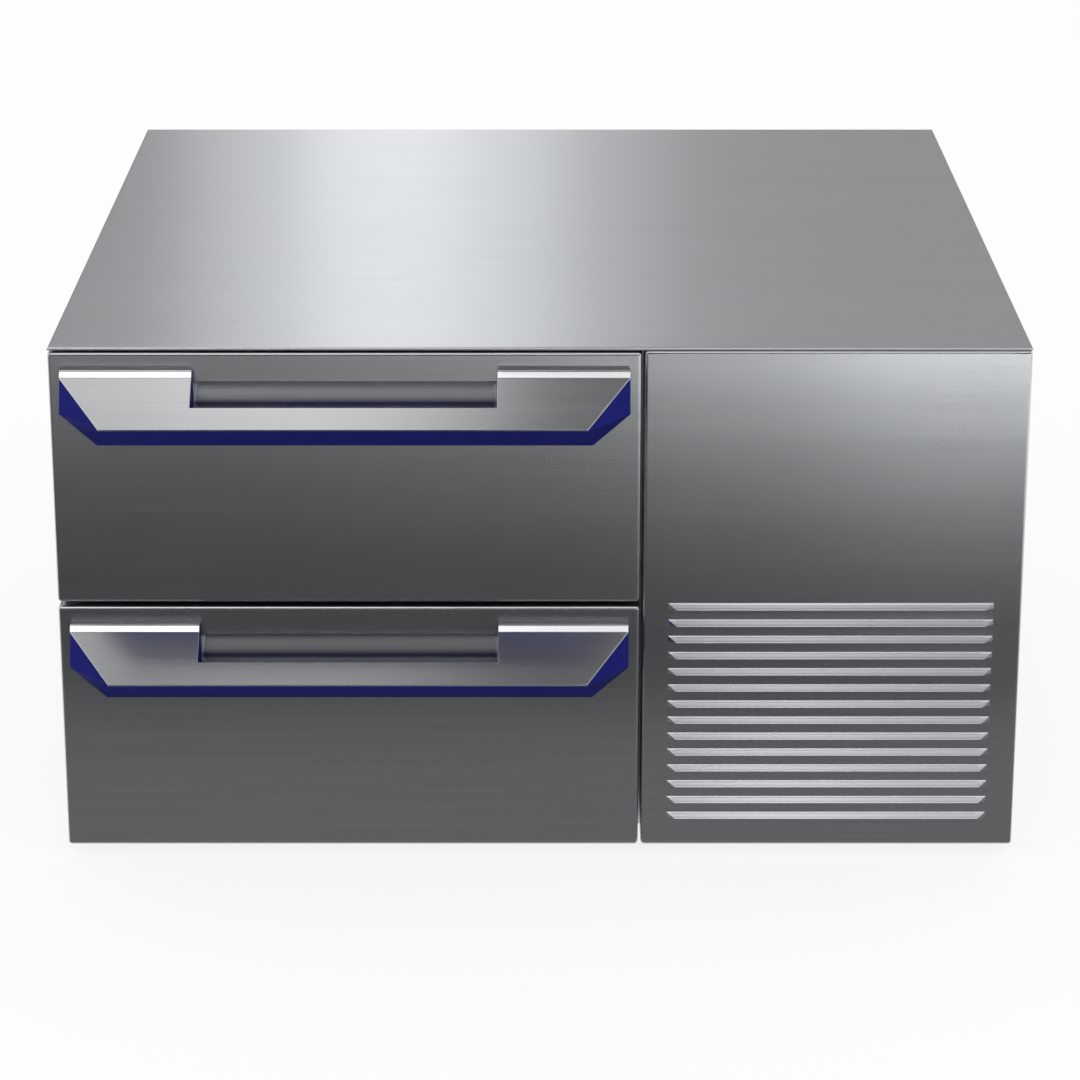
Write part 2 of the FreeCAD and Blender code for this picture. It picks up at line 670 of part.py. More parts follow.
# ---- machine bay -------------------------------------------------------------------------------------
def make_condenser():
    """Finned tube coil in one long serpentine, standing on its end plates."""
    levels = [COIL_TOP_ROW_Z - index * COIL_ROW_GAP for index in range(COIL_TUBES)]
    left = COIL_X[0] - 8.0
    right = COIL_X[1] + 12.0
    front, rear = COIL_TUBE_YS
    route = [(COIL_STUB_X, front, levels[0]), (right, front, levels[0])]
    for index in range(1, COIL_TUBES):
        x_here, x_next = (right, left) if index % 2 else (left, right)
        route.append((x_here, front, levels[index]))
        route.append((x_next, front, levels[index]))
    for index in range(COIL_TUBES - 1, 0, -1):
        x_here, x_next = (left, right) if index % 2 else (right, left)
        route.append((x_here, rear, levels[index]))
        route.append((x_next, rear, levels[index]))
    route.append((right, rear, levels[0]))
    route.append((COIL_STUB_X, rear, levels[0]))
    coil = pipe(route, COIL_TUBE_R, COIL_BEND)
    pitch = (COIL_X[1] - COIL_X[0]) / (COIL_FINS - 1)
    plates = []
    for index in range(1, COIL_FINS - 1):
        x = COIL_X[0] + index * pitch - FIN_T / 2
        plates.append(box((x, x + FIN_T), COIL_Y, COIL_Z))
    for x in (COIL_X[0] - END_PLATE_T, COIL_X[1]):
        plates.append(box((x, x + END_PLATE_T), COIL_Y, (BOTTOM_Z + SHEET, SHROUD_Z[1])))
    node("condenser_coil", coil.fuse(plates).removeSplitter())


def make_condenser_fan():
    """Shroud, fan wheel, motor and the bracket that holds the motor behind the wheel."""
    xs, ys, zs = SHROUD_X, SHROUD_Y, SHROUD_Z
    walls = [
        box((xs[0], xs[0] + SHEET), ys, zs),
        box((xs[1] - SHEET, xs[1]), ys, zs),
        box((xs[0] + SHEET, xs[1] - SHEET), ys, (zs[1] - SHEET, zs[1])),
        box((xs[0] + SHEET, xs[1] - SHEET), ys, (zs[0], zs[0] + SHEET)),
    ]
    collar_len = 20.0
    collar_t = 2.0
    plate = box(xs, (ys[1], ys[1] + SHEET), zs)
    hole = rod(FAN_HOLE_R, (BAY_MID_X, ys[1] - EPS, FAN_Z), SHEET + collar_len + 2 * EPS, Y_AXIS)
    collar = ring(FAN_HOLE_R + collar_t, FAN_HOLE_R, (BAY_MID_X, ys[1] + SHEET, FAN_Z), collar_len, Y_AXIS)
    node("condenser_shroud", *walls, plate.fuse(collar).removeSplitter().cut(hole))

    shaft_r = 4.0
    shaft_len = 20.0
    shaft_in_hub = 2.0
    bearing_gap = 0.05
    wheel_y = ys[1] + 4.0
    depth = 26.0
    hub_r = 24.0
    blades = 5
    motor_y = wheel_y + depth + 14.0
    motor_len = 54.0
    motor_r = 36.0
    bore_depth = 14.0
    clamp_ys = (20.0, 32.0)
    leg_reach = 104.0
    leg_w = 12.0
    wheel = fan_wheel(BAY_MID_X, FAN_Z, wheel_y, depth, hub_r, FAN_R, blades)
    shaft = rod(shaft_r, (BAY_MID_X, wheel_y + depth - shaft_in_hub, FAN_Z), shaft_len, Y_AXIS)
    node("condenser_fan_blade", wheel.fuse(shaft).removeSplitter())
    node("condenser_fan_motor",
         fan_motor(BAY_MID_X, FAN_Z, motor_y, motor_len, motor_r, shaft_r + bearing_gap, bore_depth))
    node("condenser_motor_bracket",
         motor_legs(BAY_MID_X, FAN_Z, motor_r, [motor_y + y for y in clamp_ys], leg_reach,
                    ys[1] + SHEET, leg_w))


def upright(edge):
    """True for an edge that runs up and down."""
    return abs(edge.Vertexes[0].Z - edge.Vertexes[-1].Z) > EPS


def make_compressor():
    """Hermetic shell on a foot plate with rubber grommets, relay cover and pipe stubs."""
    low, high = COMP_Z
    plate_half = (95.0, 66.0)
    plate_t = 3.0
    plate_corner_r = 12.0
    neck_r = 5.0
    dome_r = 30.0
    sole_r = 14.0
    seam_out = 4.0
    seam_h = 6.0
    stub_in = 12.0
    foot = box((BAY_MID_X - plate_half[0], BAY_MID_X + plate_half[0]),
               (COMP_Y - plate_half[1], COMP_Y + plate_half[1]), (low, low + plate_t))
    foot = round_edges(foot, plate_corner_r, upright)
    spots = [(BAY_MID_X + dx, COMP_Y + dy) for dx in (-COMP_FOOT_X, COMP_FOOT_X)
             for dy in (-COMP_FOOT_Y, COMP_FOOT_Y)]
    foot = cut_all(foot, [rod(neck_r, (*spot, low - EPS), plate_t + 2 * EPS, Z_AXIS) for spot in spots])
    shell = rod(COMP_R, (BAY_MID_X, COMP_Y, low + plate_t), high - low - plate_t, Z_AXIS)
    shell = round_edges(shell, dome_r, lambda edge: edge.Vertexes[0].Z > high - EPS)
    shell = round_edges(shell, sole_r, lambda edge: edge.Vertexes[0].Z < low + plate_t + EPS and edge.Closed)
    seam = rod(COMP_R + seam_out, (BAY_MID_X, COMP_Y, (low + high) / 2), seam_h, Z_AXIS)
    stub_len = BAY_MID_X - COMP_STUB_X - COMP_R + stub_in
    stubs = [rod(radius, (COMP_STUB_X, y, z), stub_len, X_AXIS)
             for radius, (y, z) in ((COIL_TUBE_R, COMP_OUT), (SUCTION_R + EPS, COMP_IN))]
    node("compressor", fuse_all([shell, seam, foot] + stubs))

    pad_r = 11.0
    cap_r = 9.0
    cap_t = 4.0
    base_z = BOTTOM_Z + SHEET
    grommets = []
    for spot in spots:
        pad = rod(pad_r, (*spot, base_z), low - base_z, Z_AXIS)
        neck = rod(neck_r, (*spot, low), plate_t, Z_AXIS)
        cap = rod(cap_r, (*spot, low + plate_t), cap_t, Z_AXIS)
        grommets.append(fuse_all([pad, neck, cap]))
    node("compressor_grommets", *grommets)

    cover_xs = (BAY_MID_X + COMP_R + 4.0, BAY_MID_X + COMP_R + 34.0)
    cover_half_y = 32.0
    cover_zs = (60.0, 110.0)
    cover_edge_r = 4.0
    bridge_in = 20.0
    bridge_half_y = 24.0
    bridge_zs = (66.0, 104.0)
    cover = box(cover_xs, (COMP_Y - cover_half_y, COMP_Y + cover_half_y), cover_zs)
    cover = round_edges(cover, cover_edge_r, lambda edge: middle(edge).x > cover_xs[1] - EPS)
    bridge = box((BAY_MID_X + COMP_R - bridge_in, cover_xs[0]),
                 (COMP_Y - bridge_half_y, COMP_Y + bridge_half_y), bridge_zs)
    can = rod(COMP_R, (BAY_MID_X, COMP_Y, low), high - low, Z_AXIS)
    node("compressor_relay_cover", fuse_all([cover, bridge]).cut(can))


def make_pipes():
    """Discharge, liquid and suction lines with the filter-drier, each ending face to face."""
    front, rear = COIL_TUBE_YS
    top_z = COIL_TOP_ROW_Z
    under_z = top_z - COIL_ROW_GAP / 2
    out_y, out_z = COMP_OUT
    discharge = [(COMP_STUB_X, out_y, out_z), (PIPE_X, out_y, out_z), (PIPE_X, out_y, under_z),
                 (PIPE_X, front, under_z), (PIPE_X, front, top_z), (COIL_STUB_X, front, top_z)]
    node("discharge_pipe", pipe(discharge, PIPE_R, COIL_BEND))
    riser_x = PIPE_X - PIPE_R
    liquid = [(COIL_STUB_X, rear, top_z), (riser_x, rear, top_z), (riser_x, rear, LIQUID_Z),
              (DRIER_X, rear, LIQUID_Z), (DRIER_X, DRIER_Y[0], LIQUID_Z)]
    node("liquid_pipe", pipe(liquid, PIPE_R, COIL_BEND))
    taper = 12.0
    neck_r = 4.0
    body_r = 11.0
    body = rod(body_r, (DRIER_X, DRIER_Y[0] + taper, LIQUID_Z), DRIER_Y[1] - DRIER_Y[0] - 2 * taper, Y_AXIS)
    cones = [Part.makeCone(neck_r, body_r, taper, vec(DRIER_X, DRIER_Y[0], LIQUID_Z), Y_AXIS),
             Part.makeCone(body_r, neck_r, taper, vec(DRIER_X, DRIER_Y[1] - taper, LIQUID_Z), Y_AXIS)]
    node("filter_drier", fuse_all([body] + cones))
    capillary = [(DRIER_X, DRIER_Y[1], LIQUID_Z), (DRIER_X, EVAP_IN[0], LIQUID_Z),
                 (DRIER_X, EVAP_IN[0], EVAP_IN[1]), (EVAP_STUB_X, EVAP_IN[0], EVAP_IN[1])]
    node("capillary_tube", pipe(capillary, CAPILLARY_R, COIL_BEND))
    suction_x = 105.0
    suction_bend = 12.0
    in_y, in_z = COMP_IN
    suction = [(EVAP_STUB_X, EVAP_OUT[0], EVAP_OUT[1]), (suction_x, EVAP_OUT[0], EVAP_OUT[1]),
               (suction_x, EVAP_OUT[0], in_z), (suction_x, in_y, in_z), (COMP_STUB_X, in_y, in_z)]
    node("suction_pipe", pipe(suction, SUCTION_R, suction_bend))


def make_evaporation_tray():
    """Shallow moulded tray on the base that the drain runs into."""
    xs, ys, zs = (100.0, 385.0), (110.0, 296.0), (BOTTOM_Z + SHEET, 48.0)
    wall = 2.0
    corner_r = 8.0
    outer = round_edges(box(xs, ys, zs), corner_r, upright)
    inner = box((xs[0] + wall, xs[1] - wall), (ys[0] + wall, ys[1] - wall), (zs[0] + wall, zs[1] + EPS))
    inner = round_edges(inner, corner_r - wall, upright)
    node("evaporation_tray", outer.cut(inner))


def make_controls():
    """Open steel box that hangs under the worktop, and the board with its parts inside."""
    xs, ys, zs = (135.0, 380.0), (-300.0, -70.0), (315.0, UNDER_TOP_Z)
    cable_r = 9.0
    cable_at = (250.0, 340.0)
    case = box(xs, ys, zs).cut(box((xs[0] + SHEET, xs[1] - SHEET), (ys[0] + SHEET, ys[1] - SHEET),
                                   (zs[0] + SHEET, zs[1] + EPS)))
    cable_hole = rod(cable_r, (cable_at[0], ys[1] - 2 * SHEET, cable_at[1]), 4 * SHEET, Y_AXIS)
    node("control_box", case.cut(cable_hole))

    floor_z = zs[0] + SHEET
    post = 6.0
    board_t = 2.0
    board_xs = (170.0, 330.0)
    board_ys = (-260.0, -130.0)
    post_in = 4.0
    post_xs = (board_xs[0] + post_in, board_xs[1] - post_in - post)
    post_ys = (board_ys[0] + post_in, board_ys[1] - post_in - post)
    top_z = floor_z + post + board_t
    relay_n = 3
    relay = (28.0, 30.0, 22.0)
    relay_start = (185.0, -175.0)
    relay_pitch = 38.0
    supply_xs, supply_ys, supply_h = (190.0, 250.0), (-245.0, -200.0), 34.0
    parts = [box(board_xs, board_ys, (floor_z + post, top_z))]
    for x in post_xs:
        for y in post_ys:
            parts.append(box((x, x + post), (y, y + post), (floor_z, floor_z + post)))
    for index in range(relay_n):
        x = relay_start[0] + index * relay_pitch
        parts.append(box((x, x + relay[0]), (relay_start[1], relay_start[1] + relay[1]),
                         (top_z, top_z + relay[2])))
    parts.append(box(supply_xs, supply_ys, (top_z, top_z + supply_h)))
    node("controller", fuse_all(parts))


def make_power_inlet():
    """Recessed three-pin appliance inlet whose ears hold it behind the rear grille."""
    shell = 2.5
    floor_t = 6.0
    pin_len = 14.5
    pin_half = (1.0, 2.0)
    pin_spots = ((-7.0, -2.0), (0.0, 2.0), (7.0, -2.0))
    ear_w = 10.0
    ear_t = 2.0
    mouth_y = BACK_Y - SHEET
    body_ys = (INLET_FLOOR_Y, mouth_y)
    half_w = INLET_HALF_W
    half_h = INLET_HALF_H
    wide = (INLET_X - half_w - shell, INLET_X + half_w + shell)
    inner_zs = (INLET_Z - half_h, INLET_Z + half_h)
    inlet = [
        box((wide[0], INLET_X - half_w), body_ys, inner_zs),
        box((INLET_X + half_w, wide[1]), body_ys, inner_zs),
        box(wide, body_ys, (inner_zs[1], inner_zs[1] + shell)),
        box(wide, body_ys, (inner_zs[0] - shell, inner_zs[0])),
        box(wide, (INLET_FLOOR_Y - floor_t, INLET_FLOOR_Y), (inner_zs[0] - shell, inner_zs[1] + shell)),
        box((wide[0] - ear_w, wide[0]), (mouth_y - ear_t, mouth_y), inner_zs),
        box((wide[1], wide[1] + ear_w), (mouth_y - ear_t, mouth_y), inner_zs),
    ]
    for dx, dz in pin_spots:
        x = INLET_X + dx
        z = INLET_Z + dz
        inlet.append(box((x - pin_half[0], x + pin_half[0]), (INLET_FLOOR_Y, INLET_FLOOR_Y + pin_len),
                         (z - pin_half[1], z + pin_half[1])))
    node("power_inlet", *inlet)


def make_panel_catches():
    """Magnet blocks on the bay rails that hold the service panel."""
    depth = (FACE_Y - (GASKET_GAP - RUN_GAP), FACE_Y)
    width = 22.0
    height = 14.0
    corner_r = 1.5
    blocks = []
    for x in (110.0, 350.0):
        for z in (BOTTOM_Z + 2.0, UNDER_TOP_Z - 4.0 - height):
            block = box((x, x + width), depth, (z, z + height))
            blocks.append(round_edges(block, corner_r, along_y))
    node("panel_catches", *blocks)


# ---- service panel -----------------------------------------------------------------------------------
def rounded_pan(xs, zs, depth_ys, sheet, radius):
    """A sheet pan, open at the back, with bent front edges and corners; also returns its inside."""
    outer = box(xs, depth_ys, zs)
    outer = round_edges(outer, radius, along_y)
    front_r = radius - 0.2
    outer = outer.makeFillet(front_r, [edge for edge in outer.Edges
                                       if edge.BoundBox.YMax < depth_ys[0] + sheet / 2])
    inner = box((xs[0] + sheet, xs[1] - sheet), (depth_ys[0] + sheet, depth_ys[1] + EPS),
                (zs[0] + sheet, zs[1] - sheet))
    inner = round_edges(inner, radius - sheet, along_y)
    return outer.cut(inner), inner


def make_service_panel():
    """Removable front pan with fourteen pressed louvres that open downwards."""
    ys = (FRONT_Y, FRONT_Y + FRONT_T)
    pan, inside = rounded_pan((SERVICE_X0, HALF_W), (BOTTOM_Z, SERVICE_TOP_Z), ys, SHEET, FRONT_EDGE_R)
    lip_h = 20.0
    lip_ys = (ys[1] - SHEET, ys[1])
    lips = [box((SERVICE_X0 + SHEET, HALF_W - SHEET), lip_ys, (BOTTOM_Z + SHEET, BOTTOM_Z + lip_h)),
            box((SERVICE_X0 + SHEET, HALF_W - SHEET), lip_ys, (SERVICE_TOP_Z - lip_h, SERVICE_TOP_Z - SHEET))]
    pan = pan.fuse([lip.common(inside) for lip in lips]).removeSplitter()
    hoods = []
    voids = []
    for index in range(LOUVRE_N):
        top = LOUVRE_TOP_Z - index * LOUVRE_PITCH
        low = top - LOUVRE_DROP
        back = FRONT_Y + SHEET / 2
        front = FRONT_Y - LOUVRE_OUT
        in0, in1 = LOUVRE_X0 + LOUVRE_TAPER, LOUVRE_X1 - LOUVRE_TAPER
        points = {
            "tl": (LOUVRE_X0, FRONT_Y, top), "tr": (LOUVRE_X1, FRONT_Y, top),
            "bl": (LOUVRE_X0, FRONT_Y, low), "br": (LOUVRE_X1, FRONT_Y, low),
            "fl": (in0, front, low), "fr": (in1, front, low),
            "ktl": (LOUVRE_X0, back, top), "ktr": (LOUVRE_X1, back, top),
            "kbl": (LOUVRE_X0, back, low), "kbr": (LOUVRE_X1, back, low),
        }
        faces = (("tl", "tr", "fr", "fl"), ("tl", "fl", "bl"), ("tr", "br", "fr"),
                 ("bl", "fl", "fr", "br", "kbr", "kbl"), ("tl", "ktl", "ktr", "tr"),
                 ("tl", "bl", "kbl", "ktl"), ("tr", "ktr", "kbr", "br"), ("ktl", "kbl", "kbr", "ktr"))
        hoods.append(faceted(points, faces))
        wall = LOUVRE_T * math.sqrt(2)
        reach = LOUVRE_DROP - wall
        past = SHEET + 2 * EPS
        profile = ((FRONT_Y - reach, low), (FRONT_Y - reach, low - RUN_GAP), (FRONT_Y + past, low - RUN_GAP),
                   (FRONT_Y + past, top - wall + SHEET), (FRONT_Y + SHEET, top - wall + SHEET))
        voids.append(prism_x(profile, in0 + LOUVRE_T, in1 - LOUVRE_T))
    pan = pan.fuse(hoods).removeSplitter()
    node("service_panel", pan.cut(voids))


# ---- drawers -----------------------------------------------------------------------------------------
def handle_point(top, out, drop):
    """(out, drop) of the handle's section as the (y, z) of one drawer."""
    return (FRONT_Y - out, top - drop)


def handle_lines():
    """Outer and inner lines of the handle plate's section."""
    outer = [(0, FLANGE_DROP), (FLANGE_OUT, FLANGE_DROP), (FACET_OUT, FACET_DROP), (HANDLE_OUT, LIP_DROP)]
    return outer, offset_profile(outer, HANDLE_T)


def half_width_at(out):
    """Half the handle's width where its slanted ends are this far out."""
    share = (out - FACET_OUT) / (HANDLE_OUT - FACET_OUT)
    return HANDLE_HALF_W - share * (HANDLE_HALF_W - LIP_HALF_W)


def make_handle(name, top):
    """Folded steel plate with a grip notch, on a moulding that fills the space below it."""
    outer, inner = handle_lines()
    profile = [handle_point(top, *point) for point in outer + inner[::-1]]
    x0 = HANDLE_MID_X - HANDLE_HALF_W
    x1 = HANDLE_MID_X + HANDLE_HALF_W
    plate = prism_x(profile, x0, x1)
    far = HANDLE_OUT + EPS
    trims = []
    for side in (-1, 1):
        edge = HANDLE_MID_X + side * HANDLE_HALF_W
        outline = [(edge, FRONT_Y - FACET_OUT), (HANDLE_MID_X + side * half_width_at(far), FRONT_Y - far),
                   (edge + side * EPS, FRONT_Y - far), (edge + side * EPS, FRONT_Y - FACET_OUT)]
        trims.append(prism_z(outline, top - MOULD_DROP, top))
    notch_xs = (NOTCH_MID_X - NOTCH_HALF_W, NOTCH_MID_X + NOTCH_HALF_W)
    notch = box(notch_xs, (FRONT_Y + EPS, FRONT_Y - NOTCH_OUT), (top - MOULD_DROP - EPS, top))
    node(name + "_handle_plate", cut_all(plate, trims + [notch]))

    lip_half = half_width_at(inner[3][0])
    points = {}
    for tag, side in (("l", -1), ("r", 1)):
        sections = {
            "a": (HANDLE_HALF_W, inner[0]), "b": (HANDLE_HALF_W, inner[1]), "c": (HANDLE_HALF_W, inner[2]),
            "d": (lip_half, inner[3]), "e": (HANDLE_HALF_W, (MOULD_OUT, MOULD_SIDE_DROP)),
            "f": (MOULD_HALF_W, (MOULD_OUT, MOULD_DROP)), "g": (HANDLE_HALF_W, (0, MOULD_SIDE_DROP)),
            "h": (MOULD_HALF_W, (0, MOULD_DROP)),
        }
        for key, (half, section) in sections.items():
            points[key + tag] = (HANDLE_MID_X + side * half, *handle_point(top, *section))
    faces = [("al", "ar", "br", "bl"), ("bl", "br", "cr", "cl"), ("cl", "cr", "dr", "dl"),
             ("dl", "dr", "fr", "fl"), ("fl", "fr", "hr", "hl"), ("al", "gl", "hl", "hr", "gr", "ar")]
    for tag in ("l", "r"):
        faces.append(tuple(key + tag for key in "abceg"))
        faces.append(tuple(key + tag for key in "cde"))
        faces.append(tuple(key + tag for key in "dfe"))
        faces.append(tuple(key + tag for key in "efhg"))
    moulding = faceted(points, faces)
    grip = [(-EPS, -EPS), (NOTCH_OUT, -EPS), (NOTCH_OUT, GRIP_WALL_DROP), (GRIP_FLOOR_OUT, GRIP_FLOOR_DROP),
            (-EPS, GRIP_FLOOR_DROP)]
    grip_space = prism_x([handle_point(top, *point) for point in grip], *notch_xs)
    node(name + "_handle_moulding", moulding.cut(grip_space))


def make_front(name, low, top):
    """Rounded skin with the finger recess, foam core, inner panel and gasket."""
    ys = (FRONT_Y, FRONT_Y + FRONT_T)
    skin, inside = rounded_pan((FRONT_X0, FRONT_X1), (low, top), ys, SKIN_T, FRONT_EDGE_R)
    xs = (NOTCH_MID_X - NOTCH_HALF_W, NOTCH_MID_X + NOTCH_HALF_W)
    zs = (top - RECESS_LOW_DROP, top - RECESS_TOP_DROP)
    void = box(xs, (FRONT_Y - EPS, FRONT_Y + RECESS_D), zs)
    void = round_edges(void, RECESS_R, along_y)
    cup_xs = (xs[0] - SKIN_T, xs[1] + SKIN_T)
    cup_zs = (zs[0] - SKIN_T, zs[1] + SKIN_T)
    cup = box(cup_xs, (FRONT_Y + SKIN_T / 2, FRONT_Y + RECESS_D + SKIN_T), cup_zs)
    cup = round_edges(cup, RECESS_R + SKIN_T, along_y)
    node(name + "_front_skin", skin.fuse(cup).removeSplitter().cut(void))
    core_ys = (ys[0], ys[1] - SHEET)
    core = inside.common(box((FRONT_X0, FRONT_X1), core_ys, (low, top)))
    node(name + "_front_foam", core.cut(cup))
    panel = inside.common(box((FRONT_X0, FRONT_X1), (core_ys[1], ys[1]), (low, top)))
    node(name + "_front_inner", panel)


def frame_ring(xs, ys, zs, width):
    """A rectangular frame of one member width."""
    outer = box(xs, ys, zs)
    hollow = box((xs[0] + width, xs[1] - width), (ys[0] - EPS, ys[1] + EPS), (zs[0] + width, zs[1] - width))
    return outer.cut(hollow)


def make_gasket(name, cell):
    """Magnetic seal: a flat foot on the inner panel and a narrower bellows that meets the cabinet."""
    start = FRONT_Y + FRONT_T
    foot_t = 3.2
    divider_over = (DIVIDER_Z1 - DIVIDER_Z0) / 2 - EPS
    over_low = divider_over if name == "upper" else GASKET_OVER
    over_high = divider_over if name == "lower" else GASKET_OVER
    xs = (CELL_X0 - GASKET_OVER, CELL_X1 + GASKET_OVER)
    zs = (cell[0] - over_low, cell[1] + over_high)
    foot = frame_ring(xs, (start, start + foot_t), zs, GASKET_W)
    inset = 1.5
    bellows = frame_ring((xs[0] + inset, xs[1] - inset), (start + foot_t, FACE_Y - RUN_GAP),
                         (zs[0] + inset, zs[1] - inset), GASKET_W - 2 * inset)
    node(name + "_gasket", fuse_all([foot, bellows]))


def make_tub(name, cell):
    """Open drawer box behind the front: floor, sides, back, rims and front flanges."""
    y0 = FRONT_Y + FRONT_T
    y1 = y0 + TUB_LEN
    x0 = CELL_X0 + SLIDE_T
    x1 = CELL_X1 - SLIDE_T
    z0 = cell[0] + TUB_CLEAR_Z
    z1 = cell[1] - TUB_CLEAR_Z
    inner_z = (z0 + TUB_T, z1 - TUB_T)
    sides = []
    rims = []
    for x, side in ((x0, 1), (x1, -1)):
        sides.append(box((x, x + side * TUB_T), (y0, y1), inner_z))
        rims.append(box((x, x + side * TUB_RIM), (y0, y1), (z1 - TUB_T, z1)))
    floor = box((x0, x1), (y0, y1), (z0, z0 + TUB_T))
    back = box((x0 + TUB_T, x1 - TUB_T), (y1 - TUB_T, y1), inner_z)
    cross = box((x0 + TUB_RIM, x1 - TUB_RIM), (y1 - TUB_RIM, y1), (z1 - TUB_T, z1))
    node(name + "_tub", floor, *sides, *rims, back, cross)


def make_slides(name, cell):
    """Three-part telescopic runners, left and right: fixed channel, middle channel, inner channel."""
    axis_z = cell[0] + SLIDE_RISE
    ys = (SLIDE_Y0, SLIDE_Y0 + SLIDE_LEN)
    web = SLIDE_WEB
    members = {
        "slide_outer": {"web": (0.0, web), "half": 23.0, "flange": (web, 10.8)},
        "slide_middle": {"web": (2 * web, 3 * web), "half": 19.4, "flange": (3 * web, 10.6)},
        "slide_inner": {"web": (SLIDE_T - web, SLIDE_T), "half": 15.8, "flange": (4 * web, SLIDE_T - web)},
    }
    for part, size in members.items():
        rails = []
        for wall_x, side in ((CELL_X0, 1), (CELL_X1, -1)):
            half = size["half"]
            pieces = [box([wall_x + side * x for x in size["web"]], ys, (axis_z - half, axis_z + half))]
            for low, high in ((-half, -half + web), (half - web, half)):
                pieces.append(box([wall_x + side * x for x in size["flange"]], ys,
                                  (axis_z + low, axis_z + high)))
            rails.append(fuse_all(pieces))
        node(name + "_" + part, *rails)


def make_drawers():
    """Both drawers, alike but for the heights of front and opening."""
    for name, sizes in DRAWERS.items():
        low, top = sizes["front"]
        make_front(name, low, top)
        make_handle(name, top)
        make_gasket(name, sizes["cell"])
        make_tub(name, sizes["cell"])
        make_slides(name, sizes["cell"])


def write_parts():
    """One STEP file per named piece."""
    os.makedirs("parts", exist_ok=True)
    for name, solids in NODES.items():
        shape = solids[0] if len(solids) == 1 else Part.makeCompound(solids)
        shape.exportStep(os.path.join("parts", name + ".step"))
        valid = all(solid.isValid() for solid in shape.Solids)
        print(name, len(shape.Solids), "valid" if valid else "INVALID", round(shape.Volume / 1000, 1), "cm3")


make_top_panel()
make_side_panels()
make_face_frame()
make_divider_rail()
make_back_panels()
make_base_pan()
make_levelling_feet()
make_insulation()
make_liner()
make_partition()
make_evaporator_coil()
make_evaporator_cover()
make_drain()
make_air_probe()
make_evaporator_fan()
make_condenser()
make_condenser_fan()
make_compressor()
make_pipes()
make_evaporation_tray()
make_controls()
make_power_inlet()
make_panel_catches()
make_service_panel()
make_drawers()
write_parts()
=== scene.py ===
"""Undercounter drawer refrigerator: finished pieces, finishes and studio round the construction frame.

The axes are the frame's: +Z up, the drawer fronts face -Y, +X to the right. Pieces are laid out in
millimetres, the studio in metres.
"""
import json
import math

import bmesh
import bpy
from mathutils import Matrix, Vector


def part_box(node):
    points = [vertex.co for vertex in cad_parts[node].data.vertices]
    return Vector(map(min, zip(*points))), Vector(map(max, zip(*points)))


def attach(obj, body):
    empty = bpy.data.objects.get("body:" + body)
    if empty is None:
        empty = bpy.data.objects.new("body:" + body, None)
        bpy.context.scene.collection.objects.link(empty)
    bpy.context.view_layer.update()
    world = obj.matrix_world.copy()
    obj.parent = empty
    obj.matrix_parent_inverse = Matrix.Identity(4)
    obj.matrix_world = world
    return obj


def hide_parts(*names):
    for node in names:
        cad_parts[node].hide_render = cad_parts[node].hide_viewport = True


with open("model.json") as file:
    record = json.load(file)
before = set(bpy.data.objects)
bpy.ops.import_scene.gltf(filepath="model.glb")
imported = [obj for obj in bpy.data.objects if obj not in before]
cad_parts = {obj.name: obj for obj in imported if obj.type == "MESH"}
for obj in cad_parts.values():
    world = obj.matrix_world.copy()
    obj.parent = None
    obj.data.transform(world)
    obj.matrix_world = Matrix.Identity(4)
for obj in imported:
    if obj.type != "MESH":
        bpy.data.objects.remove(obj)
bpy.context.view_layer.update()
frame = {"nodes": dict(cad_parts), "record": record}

bl_info = {
    "name": "Undercounter drawer refrigerator",
    "version": (1, 0, 0),
    "blender": (4, 5, 0),
    "location": "3D View > Sidebar > Refrigerator",
    "description": "Builds the visible pieces, finishes and studio of an undercounter drawer refrigerator",
    "category": "Add Mesh",
}

NODES = frame["nodes"]
MM = 0.001
SHARP = math.radians(35)
WELD = 0.01

# ---- places in the construction frame ----------------------------------------------------------------
FRONT_Y = -381.5
FRONT_T = 38.0
BACK_Y = 433.5
CELL_X = (-358.0, 42.0)
CELL_MID_X = -158.0
DRAWERS = {
    "upper": {"front_top": 445.8, "cell_floor": 241.0},
    "lower": {"front_top": 226.9, "cell_floor": 54.0},
}
HANDLE_MID_X = -158.1
HANDLE_HALF_W = 231.4
LIP_HALF_W = 196.7
HANDLE_T = 2.0
HANDLE_SECTION = ((0.0, 12.8), (8.5, 12.8), (12.0, 18.0), (52.0, 49.8))
NOTCH_X = (-282.3, -34.5)
NOTCH_OUT = 35.0
BAY_MID_X = 242.0


def limits(name):
    """Lowest and highest corner of a construction node, in millimetres."""
    return [[value / MM for value in corner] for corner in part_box(name)]


# ---- shapes -------------------------------------------------------------------------------------------
def spun(axis, centre, radius, along, angle):
    """A point at a radius and angle round an axis through a centre."""
    a = radius * math.cos(angle)
    b = radius * math.sin(angle)
    if axis == "X":
        return (centre[0] + along, centre[1] + a, centre[2] + b)
    if axis == "Y":
        return (centre[0] + a, centre[1] + along, centre[2] + b)
    return (centre[0] + a, centre[1] + b, centre[2] + along)


def bent_path(corners, bend, steps=6):
    """Corner points with an arc of one radius put in at every bend."""
    corners = [Vector(corner) for corner in corners]
    path = [corners[0]]
    for before, corner, after in zip(corners, corners[1:], corners[2:]):
        back = before - corner
        ahead = after - corner
        half = back.angle(ahead) / 2
        reach = min(bend / math.tan(half), 0.49 * back.length, 0.49 * ahead.length)
        inward = (back.normalized() + ahead.normalized()).normalized()
        centre = corner + inward * (reach / math.cos(half))
        start = corner + back.normalized() * reach - centre
        end = corner + ahead.normalized() * reach - centre
        sweep = start.angle(end)
        for step in range(steps + 1):
            share = step / steps
            arc = start * math.sin((1 - share) * sweep) + end * math.sin(share * sweep)
            path.append(centre + arc / math.sin(sweep))
    path.append(corners[-1])
    return path


